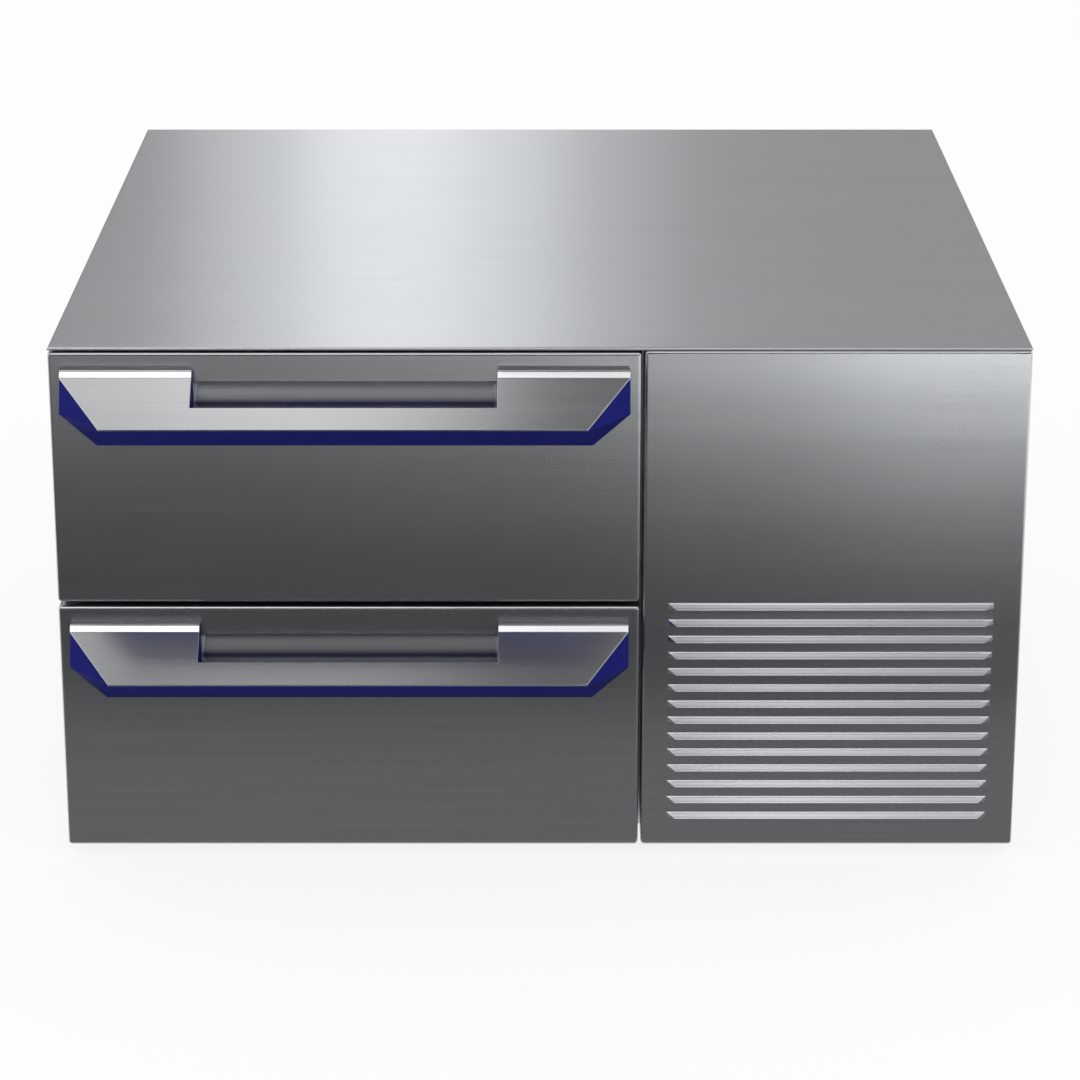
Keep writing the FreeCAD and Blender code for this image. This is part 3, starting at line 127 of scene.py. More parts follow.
def rounded_loop(us, vs, radius, steps=4):
    """Corner-rounded rectangle in two dimensions, as one loop of points."""
    loop = []
    corners = ((us[1], vs[0], -90), (us[1], vs[1], 0), (us[0], vs[1], 90), (us[0], vs[0], 180))
    for u, v, start in corners:
        cu = u - radius if u == us[1] else u + radius
        cv = v - radius if v == vs[1] else v + radius
        for step in range(steps + 1):
            angle = math.radians(start + 90 * step / steps)
            loop.append((cu + radius * math.cos(angle), cv + radius * math.sin(angle)))
    return loop


class Shape:
    """Points in millimetres and the faces between them, gathered part by part."""

    def __init__(self):
        self.points = []
        self.faces = []

    def add(self, points, faces):
        """Take in more points and the faces that index them."""
        start = len(self.points)
        self.points += [tuple(point) for point in points]
        self.faces += [tuple(start + index for index in face) for face in faces]
        return self

    def block(self, xs, ys, zs):
        """A rectangular bar between two limits on each axis."""
        points = [(x, y, z) for z in sorted(zs) for y in sorted(ys) for x in sorted(xs)]
        faces = [(0, 2, 3, 1), (4, 5, 7, 6), (0, 1, 5, 4), (1, 3, 7, 5), (3, 2, 6, 7), (2, 0, 4, 6)]
        return self.add(points, faces)

    def loft(self, loops, closed=False, capped=True):
        """Skin a row of loops that have the same number of points."""
        count = len(loops[0])
        points = [point for loop in loops for point in loop]
        faces = []
        for index in range(len(loops) if closed else len(loops) - 1):
            here = index * count
            there = (index + 1) % len(loops) * count
            for k in range(count):
                m = (k + 1) % count
                faces.append((here + k, here + m, there + m, there + k))
        if capped and not closed:
            faces.append(tuple(reversed(range(count))))
            faces.append(tuple(range(len(points) - count, len(points))))
        return self.add(points, faces)

    def turned(self, profile, centre, axis, segments=32, closed=False):
        """Turn (radius, along) stations round an axis."""
        loops = []
        for radius, along in profile:
            loops.append([spun(axis, centre, radius, along, math.tau * k / segments)
                          for k in range(segments)])
        return self.loft(loops, closed=closed)

    def tube(self, path, radius, segments=10):
        """Sweep a round section along a path."""
        path = [Vector(point) for point in path]
        heading = (path[1] - path[0]).normalized()
        side = heading.orthogonal().normalized()
        loops = []
        for index, point in enumerate(path):
            before = path[max(index - 1, 0)]
            after = path[min(index + 1, len(path) - 1)]
            turned = (after - before).normalized()
            side = heading.rotation_difference(turned) @ side
            heading = turned
            other = heading.cross(side)
            loop = []
            for k in range(segments):
                angle = math.tau * k / segments
                loop.append(point + radius * (side * math.cos(angle) + other * math.sin(angle)))
            loops.append(loop)
        return self.loft(loops)

    def plate(self, loop, place, low, high):
        """Raise a flat outline between two levels; place turns (u, v, level) into a point."""
        return self.loft([[place(u, v, level) for u, v in loop] for level in (low, high)])

    def join(self, other):
        """Take in another shape."""
        return self.add(other.points, other.faces)


def pierced(us, vs, slots, margin, radius, place, steps=3):
    """A sheet on a grid of lines with a round-cornered slot in some of its cells."""
    sheet = Shape()
    for i in range(len(us) - 1):
        for j in range(len(vs) - 1):
            box_u = (us[i], us[i + 1])
            box_v = (vs[j], vs[j + 1])
            corners = [(box_u[1], box_v[0]), (box_u[1], box_v[1]),
                       (box_u[0], box_v[1]), (box_u[0], box_v[0])]
            if (i, j) not in slots:
                sheet.add([place(*corner) for corner in corners], [(0, 1, 2, 3)])
                continue
            hole = rounded_loop((box_u[0] + margin[0], box_u[1] - margin[0]),
                                (box_v[0] + margin[1], box_v[1] - margin[1]), radius, steps)
            faces = []
            for corner in range(4):
                first = 4 + corner * (steps + 1)
                for k in range(steps):
                    faces.append((corner, first + k + 1, first + k))
                following = (corner + 1) % 4
                faces.append((corner, following, 4 + following * (steps + 1), first + steps))
            sheet.add([place(*point) for point in corners + hole], faces)
    return sheet


def stacked(bands, place):
    """Pierced bands one above the other, joined by plain strips that meet every grid line."""
    sheet = Shape()
    for index, (us, vs, slots, margin, radius, steps) in enumerate(bands):
        sheet.join(pierced(us, vs, slots, margin, radius, place, steps))
        if index:
            below_us, below_vs = bands[index - 1][:2]
            edge = [(u, below_vs[-1]) for u in below_us] + [(u, vs[0]) for u in reversed(us)]
            sheet.add([place(*point) for point in edge], [tuple(range(len(edge)))])
    return sheet


def even(low, high, cells):
    """Evenly spaced grid lines between two limits."""
    return [low + (high - low) * k / cells for k in range(cells + 1)]


def dome(shape, centre, axis, radius, height, segments=16):
    """A shallow rounded head that stands on a surface."""
    turns = [(radius, 0.0), (radius, 0.25 * height), (0.85 * radius, 0.7 * height), (0.5 * radius, height),
             (0.05 * radius, 1.05 * height)]
    return shape.turned(turns, centre, axis, segments)


def ball(shape, centre, radius, rings=5, segments=10):
    """A small ball."""
    turns = []
    for k in range(rings + 1):
        angle = math.pi * (0.04 + 0.92 * k / rings)
        turns.append((radius * math.sin(angle), -radius * math.cos(angle)))
    return shape.turned(turns, centre, "Z", segments)


def ring_sweep(shape, profile, xs, zs):
    """Carry an (inset, y) section round a rectangle with mitred corners."""
    loops = []
    for cx, cz in ((0, 0), (1, 0), (1, 1), (0, 1)):
        loops.append([(xs[cx] + (inset if cx == 0 else -inset), y, zs[cz] + (inset if cz == 0 else -inset))
                      for inset, y in profile])
    return shape.loft(loops, closed=True)


def along_y(shape, profile, y0, y1):
    """Draw an (x, z) section out along Y."""
    return shape.loft([[(x, y, z) for x, z in profile] for y in (y0, y1)])


def blades(centre, hub_r, tip_r, depth, count, twist, thick):
    """Curved, twisted fan blades round a hub that turns about Y."""
    wheel = Shape()
    stations = 6
    across = 7
    for index in range(count):
        base = math.tau * index / count
        loops = []
        for k in range(stations + 1):
            share = k / stations
            radius = hub_r * 0.9 + (tip_r - hub_r * 0.9) * share
            spread = math.radians(62 - 14 * share) * (1.0 if k < stations else 0.86)
            lean = math.radians(18) * share
            pitch = depth * (0.46 - 0.14 * share)
            front = []
            back = []
            for m in range(across + 1):
                t = m / across - 0.5
                camber = 0.16 * depth * (1 - 4 * t * t)
                half = thick * (0.25 + 0.75 * (1 - 4 * t * t))
                angle = base + lean + spread * t
                along = depth / 2 + 2 * pitch * t * twist
                front.append(spun("Y", centre, radius, along + camber - half, angle))
                back.append(spun("Y", centre, radius, along + camber + half, angle))
            loops.append(front + back[::-1])
        wheel.loft(loops)
    return wheel


def grid_faces(rows, columns, gaps=()):
    """Faces between points laid row by row, less the (row, column) cells in the gaps."""
    faces = []
    for row in range(rows - 1):
        for column in range(columns - 1):
            first = row * columns + column
            if (row, column) not in gaps:
                faces.append((first, first + columns, first + columns + 1, first + 1))
    return faces


def hexagon(shape, centre, radius, levels):
    """A six-sided nut round Z; each level is a share of its radius and a height."""
    loops = []
    for share, level in levels:
        loops.append([spun("Z", centre, radius * share, level, math.tau * k / 6) for k in range(6)])
    return shape.loft(loops)


def to_and_fro(ends, y, levels):
    """Corner points of a tube that crosses between two ends once at every level."""
    route = []
    for k, z in enumerate(levels):
        here, there = reversed(ends) if k % 2 else ends
        route += [(here, y, z), (there, y, z)]
    return route


def settle(piece):
    """Bake the modifiers so far into the mesh, then mark its sharp edges."""
    bpy.context.view_layer.update()
    solved = bpy.data.meshes.new_from_object(piece.evaluated_get(bpy.context.evaluated_depsgraph_get()))
    piece.modifiers.clear()
    piece.data = solved
    solved.polygons.foreach_set("use_smooth", [True] * len(solved.polygons))
    solved.set_sharp_from_angle(angle=SHARP)


def as_object(name, shape, weld=False, outward=True):
    """A plain object from a shape."""
    mesh = bpy.data.meshes.new(name)
    mesh.from_pydata([Vector(point) * MM for point in shape.points], [], shape.faces)
    work = bmesh.new()
    work.from_mesh(mesh)
    if weld:
        bmesh.ops.remove_doubles(work, verts=work.verts, dist=WELD * MM)
    if outward:
        bmesh.ops.recalc_face_normals(work, faces=work.faces)
    work.to_mesh(mesh)
    work.free()
    made = bpy.data.objects.new(name, mesh)
    bpy.context.scene.collection.objects.link(made)
    return made


def add_piece(name, shape, finish, body, stands_for=(), bevel=0.0, sheet=0.0, weld=False,
              side=-1.0, segments=2, cut=None):
    """Turn a shape into a named piece that rides on a body of the frame."""
    piece = as_object(name, shape, weld, outward=not sheet)
    piece.data.materials.append(FINISHES[finish])
    if sheet:
        wall = piece.modifiers.new("wall", "SOLIDIFY")
        wall.thickness = sheet * MM
        wall.offset = side
        wall.use_even_offset = True
        wall.use_quality_normals = True
    if cut:
        tool = as_object("cutter", cut)
        space = piece.modifiers.new("space", "BOOLEAN")
        space.object = tool
        space.solver = "EXACT"
    settle(piece)
    if cut:
        bpy.data.objects.remove(tool)
    if bevel:
        round_over = piece.modifiers.new("edges", "BEVEL")
        round_over.width = bevel * MM
        round_over.segments = segments
        round_over.limit_method = "ANGLE"
        round_over.angle_limit = SHARP
        round_over.use_clamp_overlap = True
    if bevel or sheet:
        normals = piece.modifiers.new("normals", "WEIGHTED_NORMAL")
        normals.keep_sharp = True
    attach(piece, body)
    if stands_for:
        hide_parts(*stands_for)
    return piece


# ---- shared effects -------------------------------------------------------------------------------------
def put(tree, kind, values=None, **settings):
    """Add a node; a value that is a socket gets linked, any other value is set."""
    made = tree.nodes.new(kind)
    for key, value in settings.items():
        setattr(made, key, value)
    for key, value in (values or {}).items():
        if isinstance(value, bpy.types.NodeSocket):
            tree.links.new(value, made.inputs[key])
        else:
            made.inputs[key].default_value = value
    return made


def new_effect(name, inputs, outputs):
    """An empty node group with named sockets, its input node and its output node."""
    group = bpy.data.node_groups.new(name, "ShaderNodeTree")
    for label, kind, value in inputs:
        socket = group.interface.new_socket(name=label, in_out="INPUT", socket_type=kind)
        socket.default_value = value
    for label, kind in outputs:
        group.interface.new_socket(name=label, in_out="OUTPUT", socket_type=kind)
    return group, group.nodes.new("NodeGroupInput").outputs, group.nodes.new("NodeGroupOutput").inputs


def maths(tree, operation, first, second):
    """The output of one two-value sum."""
    return put(tree, "ShaderNodeMath", {0: first, 1: second}, operation=operation).outputs[0]


def times(tree, first, second):
    """Two values multiplied."""
    return maths(tree, "MULTIPLY", first, second)


def noise(tree, position, scale, detail=2.0, roughness=0.5, distortion=0.0):
    """The value of a noise texture."""
    return put(tree, "ShaderNodeTexNoise",
               {"Vector": position, "Scale": scale, "Detail": detail, "Roughness": roughness,
                "Distortion": distortion}).outputs[0]


def span(tree, value, low=0.0, high=1.0, start=0.0, end=1.0):
    """Stretch a value's range from start to end over low to high."""
    return put(tree, "ShaderNodeMapRange", {"Value": value, "From Min": start, "From Max": end,
                                            "To Min": low, "To Max": high}).outputs[0]


def brush_lines_effect():
    """Drawn-out polishing lines: fine ones over broad ones."""
    group, given, result = new_effect(
        "brush_lines",
        [("Position", "NodeSocketVector", (0, 0, 0)), ("Fine", "NodeSocketVector", (5, 480, 480)),
         ("Broad", "NodeSocketVector", (1.6, 90, 90)), ("Share", "NodeSocketFloat", 0.6)],
        [("Lines", "NodeSocketFloat"), ("Height", "NodeSocketFloat")])
    values = []
    for label, detail in (("Fine", 2.0), ("Broad", 3.0)):
        spread = put(group, "ShaderNodeVectorMath", {0: given["Position"], 1: given[label]},
                     operation="MULTIPLY").outputs[0]
        values.append(noise(group, spread, 1.0, detail, 0.6))
    rest = maths(group, "SUBTRACT", 1.0, given["Share"])
    both = maths(group, "ADD", times(group, values[0], given["Share"]), times(group, values[1], rest))
    group.links.new(span(group, both, start=0.32, end=0.68), result["Lines"])
    group.links.new(both, result["Height"])
    return group


def handling_effect():
    """Soft cloudy marks left by wiping and hands, with a few clearer patches."""
    group, given, result = new_effect(
        "handling_marks",
        [("Position", "NodeSocketVector", (0, 0, 0)), ("Scale", "NodeSocketFloat", 6.0),
         ("Cover", "NodeSocketFloat", 0.5)],
        [("Marks", "NodeSocketFloat")])
    clouds = noise(group, given["Position"], given["Scale"], 6.0, 0.62, 0.4)
    smears = noise(group, given["Position"], times(group, given["Scale"], 5.0), 4.0, 0.7)
    both = times(group, clouds, maths(group, "ADD", smears, 0.5))
    low = maths(group, "SUBTRACT", 0.78, times(group, given["Cover"], 0.5))
    group.links.new(span(group, both, start=low, end=0.85), result["Marks"])
    return group


def edge_wear_effect():
    """Rubbed corners and edges, broken up so that they are never even."""
    group, given, result = new_effect(
        "edge_wear",
        [("Position", "NodeSocketVector", (0, 0, 0)), ("Radius", "NodeSocketFloat", 0.0012),
         ("Break Up", "NodeSocketFloat", 300.0)],
        [("Wear", "NodeSocketFloat")])
    rounded = put(group, "ShaderNodeBevel", {"Radius": given["Radius"]}, samples=4).outputs[0]
    plain = put(group, "ShaderNodeNewGeometry").outputs["Normal"]
    turn = put(group, "ShaderNodeVectorMath", {0: rounded, 1: plain},
               operation="DOT_PRODUCT").outputs["Value"]
    edge = span(group, turn, start=0.998, end=0.9)
    chips = noise(group, given["Position"], given["Break Up"], 3.0)
    group.links.new(times(group, edge, span(group, chips, start=0.35, end=0.65)), result["Wear"])
    return group


def speckle_effect():
    """Even fine grain, as on moulded plastic, rubber, paint and foam."""
    group, given, result = new_effect(
        "speckle",
        [("Position", "NodeSocketVector", (0, 0, 0)), ("Scale", "NodeSocketFloat", 900.0),
         ("Patch Scale", "NodeSocketFloat", 30.0)],
        [("Grain", "NodeSocketFloat"), ("Patches", "NodeSocketFloat")])
    group.links.new(noise(group, given["Position"], given["Scale"]), result["Grain"])
    group.links.new(noise(group, given["Position"], given["Patch Scale"], 4.0, 0.6), result["Patches"])
    return group


def dust_effect():
    """A thin settling of dust on whatever faces upwards."""
    group, given, result = new_effect(
        "settled_dust",
        [("Position", "NodeSocketVector", (0, 0, 0)), ("Amount", "NodeSocketFloat", 0.3)],
        [("Dust", "NodeSocketFloat")])
    facing = put(group, "ShaderNodeSeparateXYZ",
                 {0: put(group, "ShaderNodeNewGeometry").outputs["Normal"]}).outputs["Z"]
    drift = noise(group, given["Position"], 45.0, 6.0)
    settled = times(group, span(group, facing, start=0.3), times(group, drift, given["Amount"]))
    group.links.new(settled, result["Dust"])
    return group


# ---- finishes -----------------------------------------------------------------------------------------
EFFECTS = {}
FINISHES = {}
MIX_SOCKETS = (0, 6, 7)  # a Mix node's factor and its two colours
MIX_RESULT = 2
DUST_ON_METAL = (0.42, 0.39, 0.35, 1.0)
DUST_ON_PLASTIC = (0.4, 0.38, 0.35, 1.0)
FLOOR_GLOW = 0.8
ALONG_X = ((5.0, 480.0, 480.0), (1.6, 90.0, 90.0))
ALONG_Y = ((480.0, 5.0, 480.0), (90.0, 1.6, 90.0))


def effect(tree, name, values):
    """Place a shared effect in a material."""
    return put(tree, "ShaderNodeGroup", values, node_tree=EFFECTS[name]).outputs


def blend(tree, share, first, second):
    """Mix two colours by a varying share."""
    mixed = tree.nodes.new("ShaderNodeMix")
    mixed.data_type = "RGBA"
    for index, value in zip(MIX_SOCKETS, (share, first, second)):
        if isinstance(value, bpy.types.NodeSocket):
            tree.links.new(value, mixed.inputs[index])
        else:
            mixed.inputs[index].default_value = value
    return mixed.outputs[MIX_RESULT]


def shade(colour, factor):
    """A colour made lighter or darker, with full alpha."""
    return (*[min(1.0, channel * factor) for channel in colour[:3]], 1.0)


def layer(tree, tone, mask, amount, colour):
    """A colour laid over a tone by a share of a mask."""
    return blend(tree, times(tree, mask, amount), tone, colour)


def start_finish(name, metallic):
    """A new material with its shader, its node tree and the piece's own position."""
    material = bpy.data.materials.new(name)
    material.use_nodes = True
    tree = material.node_tree
    shader = tree.nodes["Principled BSDF"]
    shader.inputs["Metallic"].default_value = metallic
    position = put(tree, "ShaderNodeTexCoord").outputs["Object"]
    FINISHES[name] = material
    return tree, shader, position


def raise_surface(tree, shader, height, strength, distance):
    """Small relief through the shader's normal."""
    bump = put(tree, "ShaderNodeBump", {"Height": height, "Strength": strength, "Distance": distance})
    tree.links.new(bump.outputs[0], shader.inputs["Normal"])


def brushed_steel(name, colour, roughness, fine, broad, anisotropy, axis, contrast=0.055):
    """Stainless sheet polished in one direction, with wiping marks and brighter rubbed edges."""
    tree, shader, position = start_finish(name, 1.0)
    lines = effect(tree, "brush_lines", {"Position": position, "Fine": fine, "Broad": broad})
    marks = effect(tree, "handling_marks", {"Position": position, "Scale": 5.0, "Cover": 0.5})["Marks"]
    wear = effect(tree, "edge_wear", {"Position": position})["Wear"]
    tone = blend(tree, lines["Lines"], shade(colour, 1 - contrast), shade(colour, 1 + contrast))
    tone = layer(tree, tone, marks, 0.12, shade(colour, 0.8))
    tone = layer(tree, tone, wear, 0.5, shade(colour, 1.3))
    tree.links.new(tone, shader.inputs["Base Color"])
    rough = span(tree, lines["Lines"], roughness - 0.006, roughness + 0.006)
    rough = maths(tree, "ADD", rough, times(tree, marks, 0.012))
    tree.links.new(rough, shader.inputs["Roughness"])
    shader.inputs["Anisotropic"].default_value = anisotropy
    tangent = put(tree, "ShaderNodeTangent", direction_type="RADIAL", axis=axis).outputs[0]
    tree.links.new(tangent, shader.inputs["Tangent"])
    raise_surface(tree, shader, lines["Height"], 0.025, 0.0001)


def plated_steel(name, colour, spangle, roughness, cloud=0.1):
    """Zinc-coated sheet: crystal patches, each with its own shade and gloss."""
    tree, shader, position = start_finish(name, 1.0)
    cells = put(tree, "ShaderNodeTexVoronoi", {"Vector": position, "Scale": spangle})
    flake = put(tree, "ShaderNodeSeparateColor", {0: cells.outputs["Color"]}).outputs[0]
    speckle = effect(tree, "speckle", {"Position": position, "Scale": 700.0, "Patch Scale": 12.0})
    wear = effect(tree, "edge_wear", {"Position": position})["Wear"]
    dust = effect(tree, "settled_dust", {"Position": position, "Amount": 0.5})["Dust"]
    tone = blend(tree, flake, shade(colour, 1 - cloud), shade(colour, 1 + cloud))
    tone = layer(tree, tone, speckle["Patches"], 0.3, shade(colour, 0.7))
    tone = layer(tree, tone, wear, 0.6, shade(colour, 1.35))
    tone = blend(tree, dust, tone, DUST_ON_METAL)
    tree.links.new(tone, shader.inputs["Base Color"])
    rough = span(tree, flake, roughness - 0.07, roughness + 0.07)
    tree.links.new(maths(tree, "ADD", rough, times(tree, dust, 0.3)), shader.inputs["Roughness"])
    raise_surface(tree, shader, speckle["Grain"], 0.08, 0.0002)


def plain_metal(name, colour, roughness, grain, stain):
    """Tube, fin and fastener metal with dull patches towards a stain colour."""
    tree, shader, position = start_finish(name, 1.0)
    speckle = effect(tree, "speckle", {"Position": position, "Scale": grain, "Patch Scale": 60.0})
    wear = effect(tree, "edge_wear", {"Position": position, "Radius": 0.0006})["Wear"]
    marks = effect(tree, "handling_marks", {"Position": position, "Scale": 22.0, "Cover": 0.6})["Marks"]
    tone = blend(tree, speckle["Patches"], shade(colour, 0.82), shade(colour, 1.12))
    tone = layer(tree, tone, marks, 0.7, shade(stain, 1.0))
    tone = layer(tree, tone, wear, 0.5, shade(colour, 1.4))
    tree.links.new(tone, shader.inputs["Base Color"])
    rough = maths(tree, "ADD", span(tree, speckle["Grain"], roughness - 0.08, roughness + 0.08),
                  times(tree, marks, 0.15))
    tree.links.new(rough, shader.inputs["Roughness"])
    raise_surface(tree, shader, speckle["Grain"], 0.15, 0.0002)


def moulded(name, colour, roughness, grain, relief, worn, coat=0.0, specular=0.5, patchy=0.2, dusty=0.15):
    """Plastic, rubber or paint: fine texture, uneven tone, rubbed edges and a little dust."""
    tree, shader, position = start_finish(name, 0.0)
    speckle = effect(tree, "speckle", {"Position": position, "Scale": grain, "Patch Scale": 25.0})
    wear = effect(tree, "edge_wear", {"Position": position, "Radius": 0.0009})["Wear"]
    marks = effect(tree, "handling_marks", {"Position": position, "Scale": 9.0, "Cover": 0.5})["Marks"]
    dust = effect(tree, "settled_dust", {"Position": position, "Amount": dusty})["Dust"]
    tone = blend(tree, speckle["Patches"], shade(colour, 1 - patchy), shade(colour, 1 + patchy))
    tone = layer(tree, tone, speckle["Grain"], 0.15, shade(colour, 0.6))
    tone = layer(tree, tone, wear, 0.45, shade(worn, 1.0))
    tone = blend(tree, dust, tone, DUST_ON_PLASTIC)
    tree.links.new(tone, shader.inputs["Base Color"])
    rough = maths(tree, "ADD", span(tree, speckle["Grain"], roughness - 0.06, roughness + 0.06),
                  times(tree, marks, 0.1))
    tree.links.new(rough, shader.inputs["Roughness"])
    shader.inputs["Specular IOR Level"].default_value = specular
    shader.inputs["Coat Weight"].default_value = coat
    raise_surface(tree, shader, speckle["Grain"], relief, 0.0003)


def foamed(name, colour):
    """Rigid insulation foam: closed cells with a darker skin in patches."""
    tree, shader, position = start_finish(name, 0.0)
    cells = put(tree, "ShaderNodeTexVoronoi", {"Vector": position, "Scale": 420.0}).outputs["Distance"]
    speckle = effect(tree, "speckle", {"Position": position, "Scale": 260.0, "Patch Scale": 14.0})
    tone = blend(tree, cells, shade(colour, 0.8), shade(colour, 1.12))
    tone = layer(tree, tone, speckle["Patches"], 0.5, shade(colour, 0.65))
    tree.links.new(tone, shader.inputs["Base Color"])
    tree.links.new(span(tree, speckle["Grain"], 0.75, 0.95), shader.inputs["Roughness"])
    raise_surface(tree, shader, cells, 0.6, 0.0008)


def circuit_board(name, colour):
    """Green board: solder-masked tracks over a woven base."""
    tree, shader, position = start_finish(name, 0.0)
    tracks = put(tree, "ShaderNodeTexBrick", {"Vector": position, "Scale": 160.0, "Mortar Size": 0.03,
                                              "Color1": shade(colour, 0.9), "Color2": shade(colour, 1.15),
                                              "Mortar": shade(colour, 1.9)})
    speckle = effect(tree, "speckle", {"Position": position, "Scale": 1200.0, "Patch Scale": 40.0})
    tone = layer(tree, tracks.outputs["Color"], speckle["Patches"], 0.3, shade(colour, 0.55))
    tree.links.new(tone, shader.inputs["Base Color"])
    tree.links.new(span(tree, speckle["Grain"], 0.25, 0.45), shader.inputs["Roughness"])
    raise_surface(tree, shader, tracks.outputs["Fac"], 0.2, 0.0003)


def studio_floor(name, colour):
    """Pale matt floor with the faintest clouding."""
    tree, shader, position = start_finish(name, 0.0)
    speckle = effect(tree, "speckle", {"Position": position, "Scale": 60.0, "Patch Scale": 1.2})
    tone = blend(tree, speckle["Patches"], shade(colour, 0.995), shade(colour, 1.005))
    tree.links.new(tone, shader.inputs["Base Color"])
    tree.links.new(span(tree, speckle["Grain"], 0.85, 0.95), shader.inputs["Roughness"])
    shader.inputs["Specular IOR Level"].default_value = 0.1
    seen = put(tree, "ShaderNodeLightPath").outputs
    direct = maths(tree, "MAXIMUM", seen["Is Camera Ray"], seen["Is Glossy Ray"])
    direct = maths(tree, "MAXIMUM", direct, seen["Is Transmission Ray"])
    glow = put(tree, "ShaderNodeEmission", {"Color": (1.0, 1.0, 1.0, 1.0), "Strength": 1.0})
    share = times(tree, direct, FLOOR_GLOW)
    both = put(tree, "ShaderNodeMixShader", {0: share, 1: shader.outputs[0], 2: glow.outputs[0]})
    tree.links.new(both.outputs[0], tree.nodes["Material Output"].inputs["Surface"])


# ---- sizes and colours that a user would change ----------------------------------------------------------
def length(name, text, default):
    """A length property in millimetres."""
    return bpy.props.FloatProperty(name=name, description=text, default=default, min=0.0)


def tint(name, text, default):
    """A colour property."""
    return bpy.props.FloatVectorProperty(name=name, description=text, default=default, subtype="COLOR",
                                         min=0.0, max=1.0)


def number(name, text, default):
    """A count property."""
    return bpy.props.IntProperty(name=name, description=text, default=default, min=1)


class RefrigeratorSizes(bpy.types.PropertyGroup):
    """Sizes of the finished pieces that can be changed without touching the frame."""

    handle_bend: length("Handle bend", "Outer bend radius of the folded handle plates, mm", 2.6)
    moulding_edge: length("Moulding edge", "Rounding along the edges of the handle mouldings, mm", 0.7)
    panel_sheet: length("Panel sheet", "Sheet thickness of the service panel, mm", 1.0)
    louvre_count: number("Louvres", "How many louvres the service panel has", 14)
    louvre_pitch: length("Louvre pitch", "Distance from one louvre to the next, mm", 14.4)
    louvre_out: length("Louvre depth", "How far a louvre stands out of the panel, mm", 5.0)
    gasket_ribs: number("Gasket ribs", "Folds in the bellows of a drawer gasket", 2)
    condenser_fins: number("Condenser fins", "Fins on the condenser coil", 78)
    evaporator_fins: number("Evaporator fins", "Fins on the evaporator coil", 64)
    fan_blades: number("Fan blades", "Blades on each fan wheel", 5)
    slide_balls: number("Slide balls", "Balls in each row of a slide", 18)
    floor_size: length("Floor size", "Side of the studio floor, mm", 30000.0)


class RefrigeratorColours(bpy.types.PropertyGroup):
    """Colours of the finishes."""

    stainless: tint("Stainless", "Outer and inner stainless sheets", (0.60, 0.621, 0.641))
    handle: tint("Handle steel", "Folded handle plates", (0.68, 0.69, 0.705))
    galvanised: tint("Galvanised", "Back, base and inner brackets", (0.55, 0.57, 0.58))
    zinc: tint("Slide zinc", "Telescopic slides", (0.58, 0.60, 0.63))
    moulding: tint("Handle moulding", "Plastic body of the handles", (0.0095, 0.0115, 0.145))
    foam: tint("Foam", "Insulation foam", (0.82, 0.74, 0.52))
    gasket: tint("Gasket", "Drawer gaskets", (0.055, 0.055, 0.06))
    black_rubber: tint("Black rubber", "Compressor grommets", (0.025, 0.025, 0.025))
    black_plastic: tint("Black plastic", "Trays, inlet and catches", (0.03, 0.03, 0.032))
    grey_plastic: tint("Grey plastic", "Drain tube and small motor", (0.28, 0.29, 0.30))
    white_plastic: tint("White plastic", "Cold-cell fan wheel and probe", (0.72, 0.73, 0.72))
    aluminium: tint("Aluminium", "Fins and drip tray", (0.74, 0.75, 0.76))
    copper: tint("Copper", "Refrigerant pipes", (0.80, 0.42, 0.26))
    enamel: tint("Black enamel", "Compressor shell and condenser motor", (0.02, 0.02, 0.022))
    fastener: tint("Fastener steel", "Screws, feet and fan guard", (0.62, 0.62, 0.63))
    board: tint("Circuit board", "Controller board", (0.03, 0.17, 0.07))
    floor: tint("Floor", "Studio floor", (0.955, 0.955, 0.955))


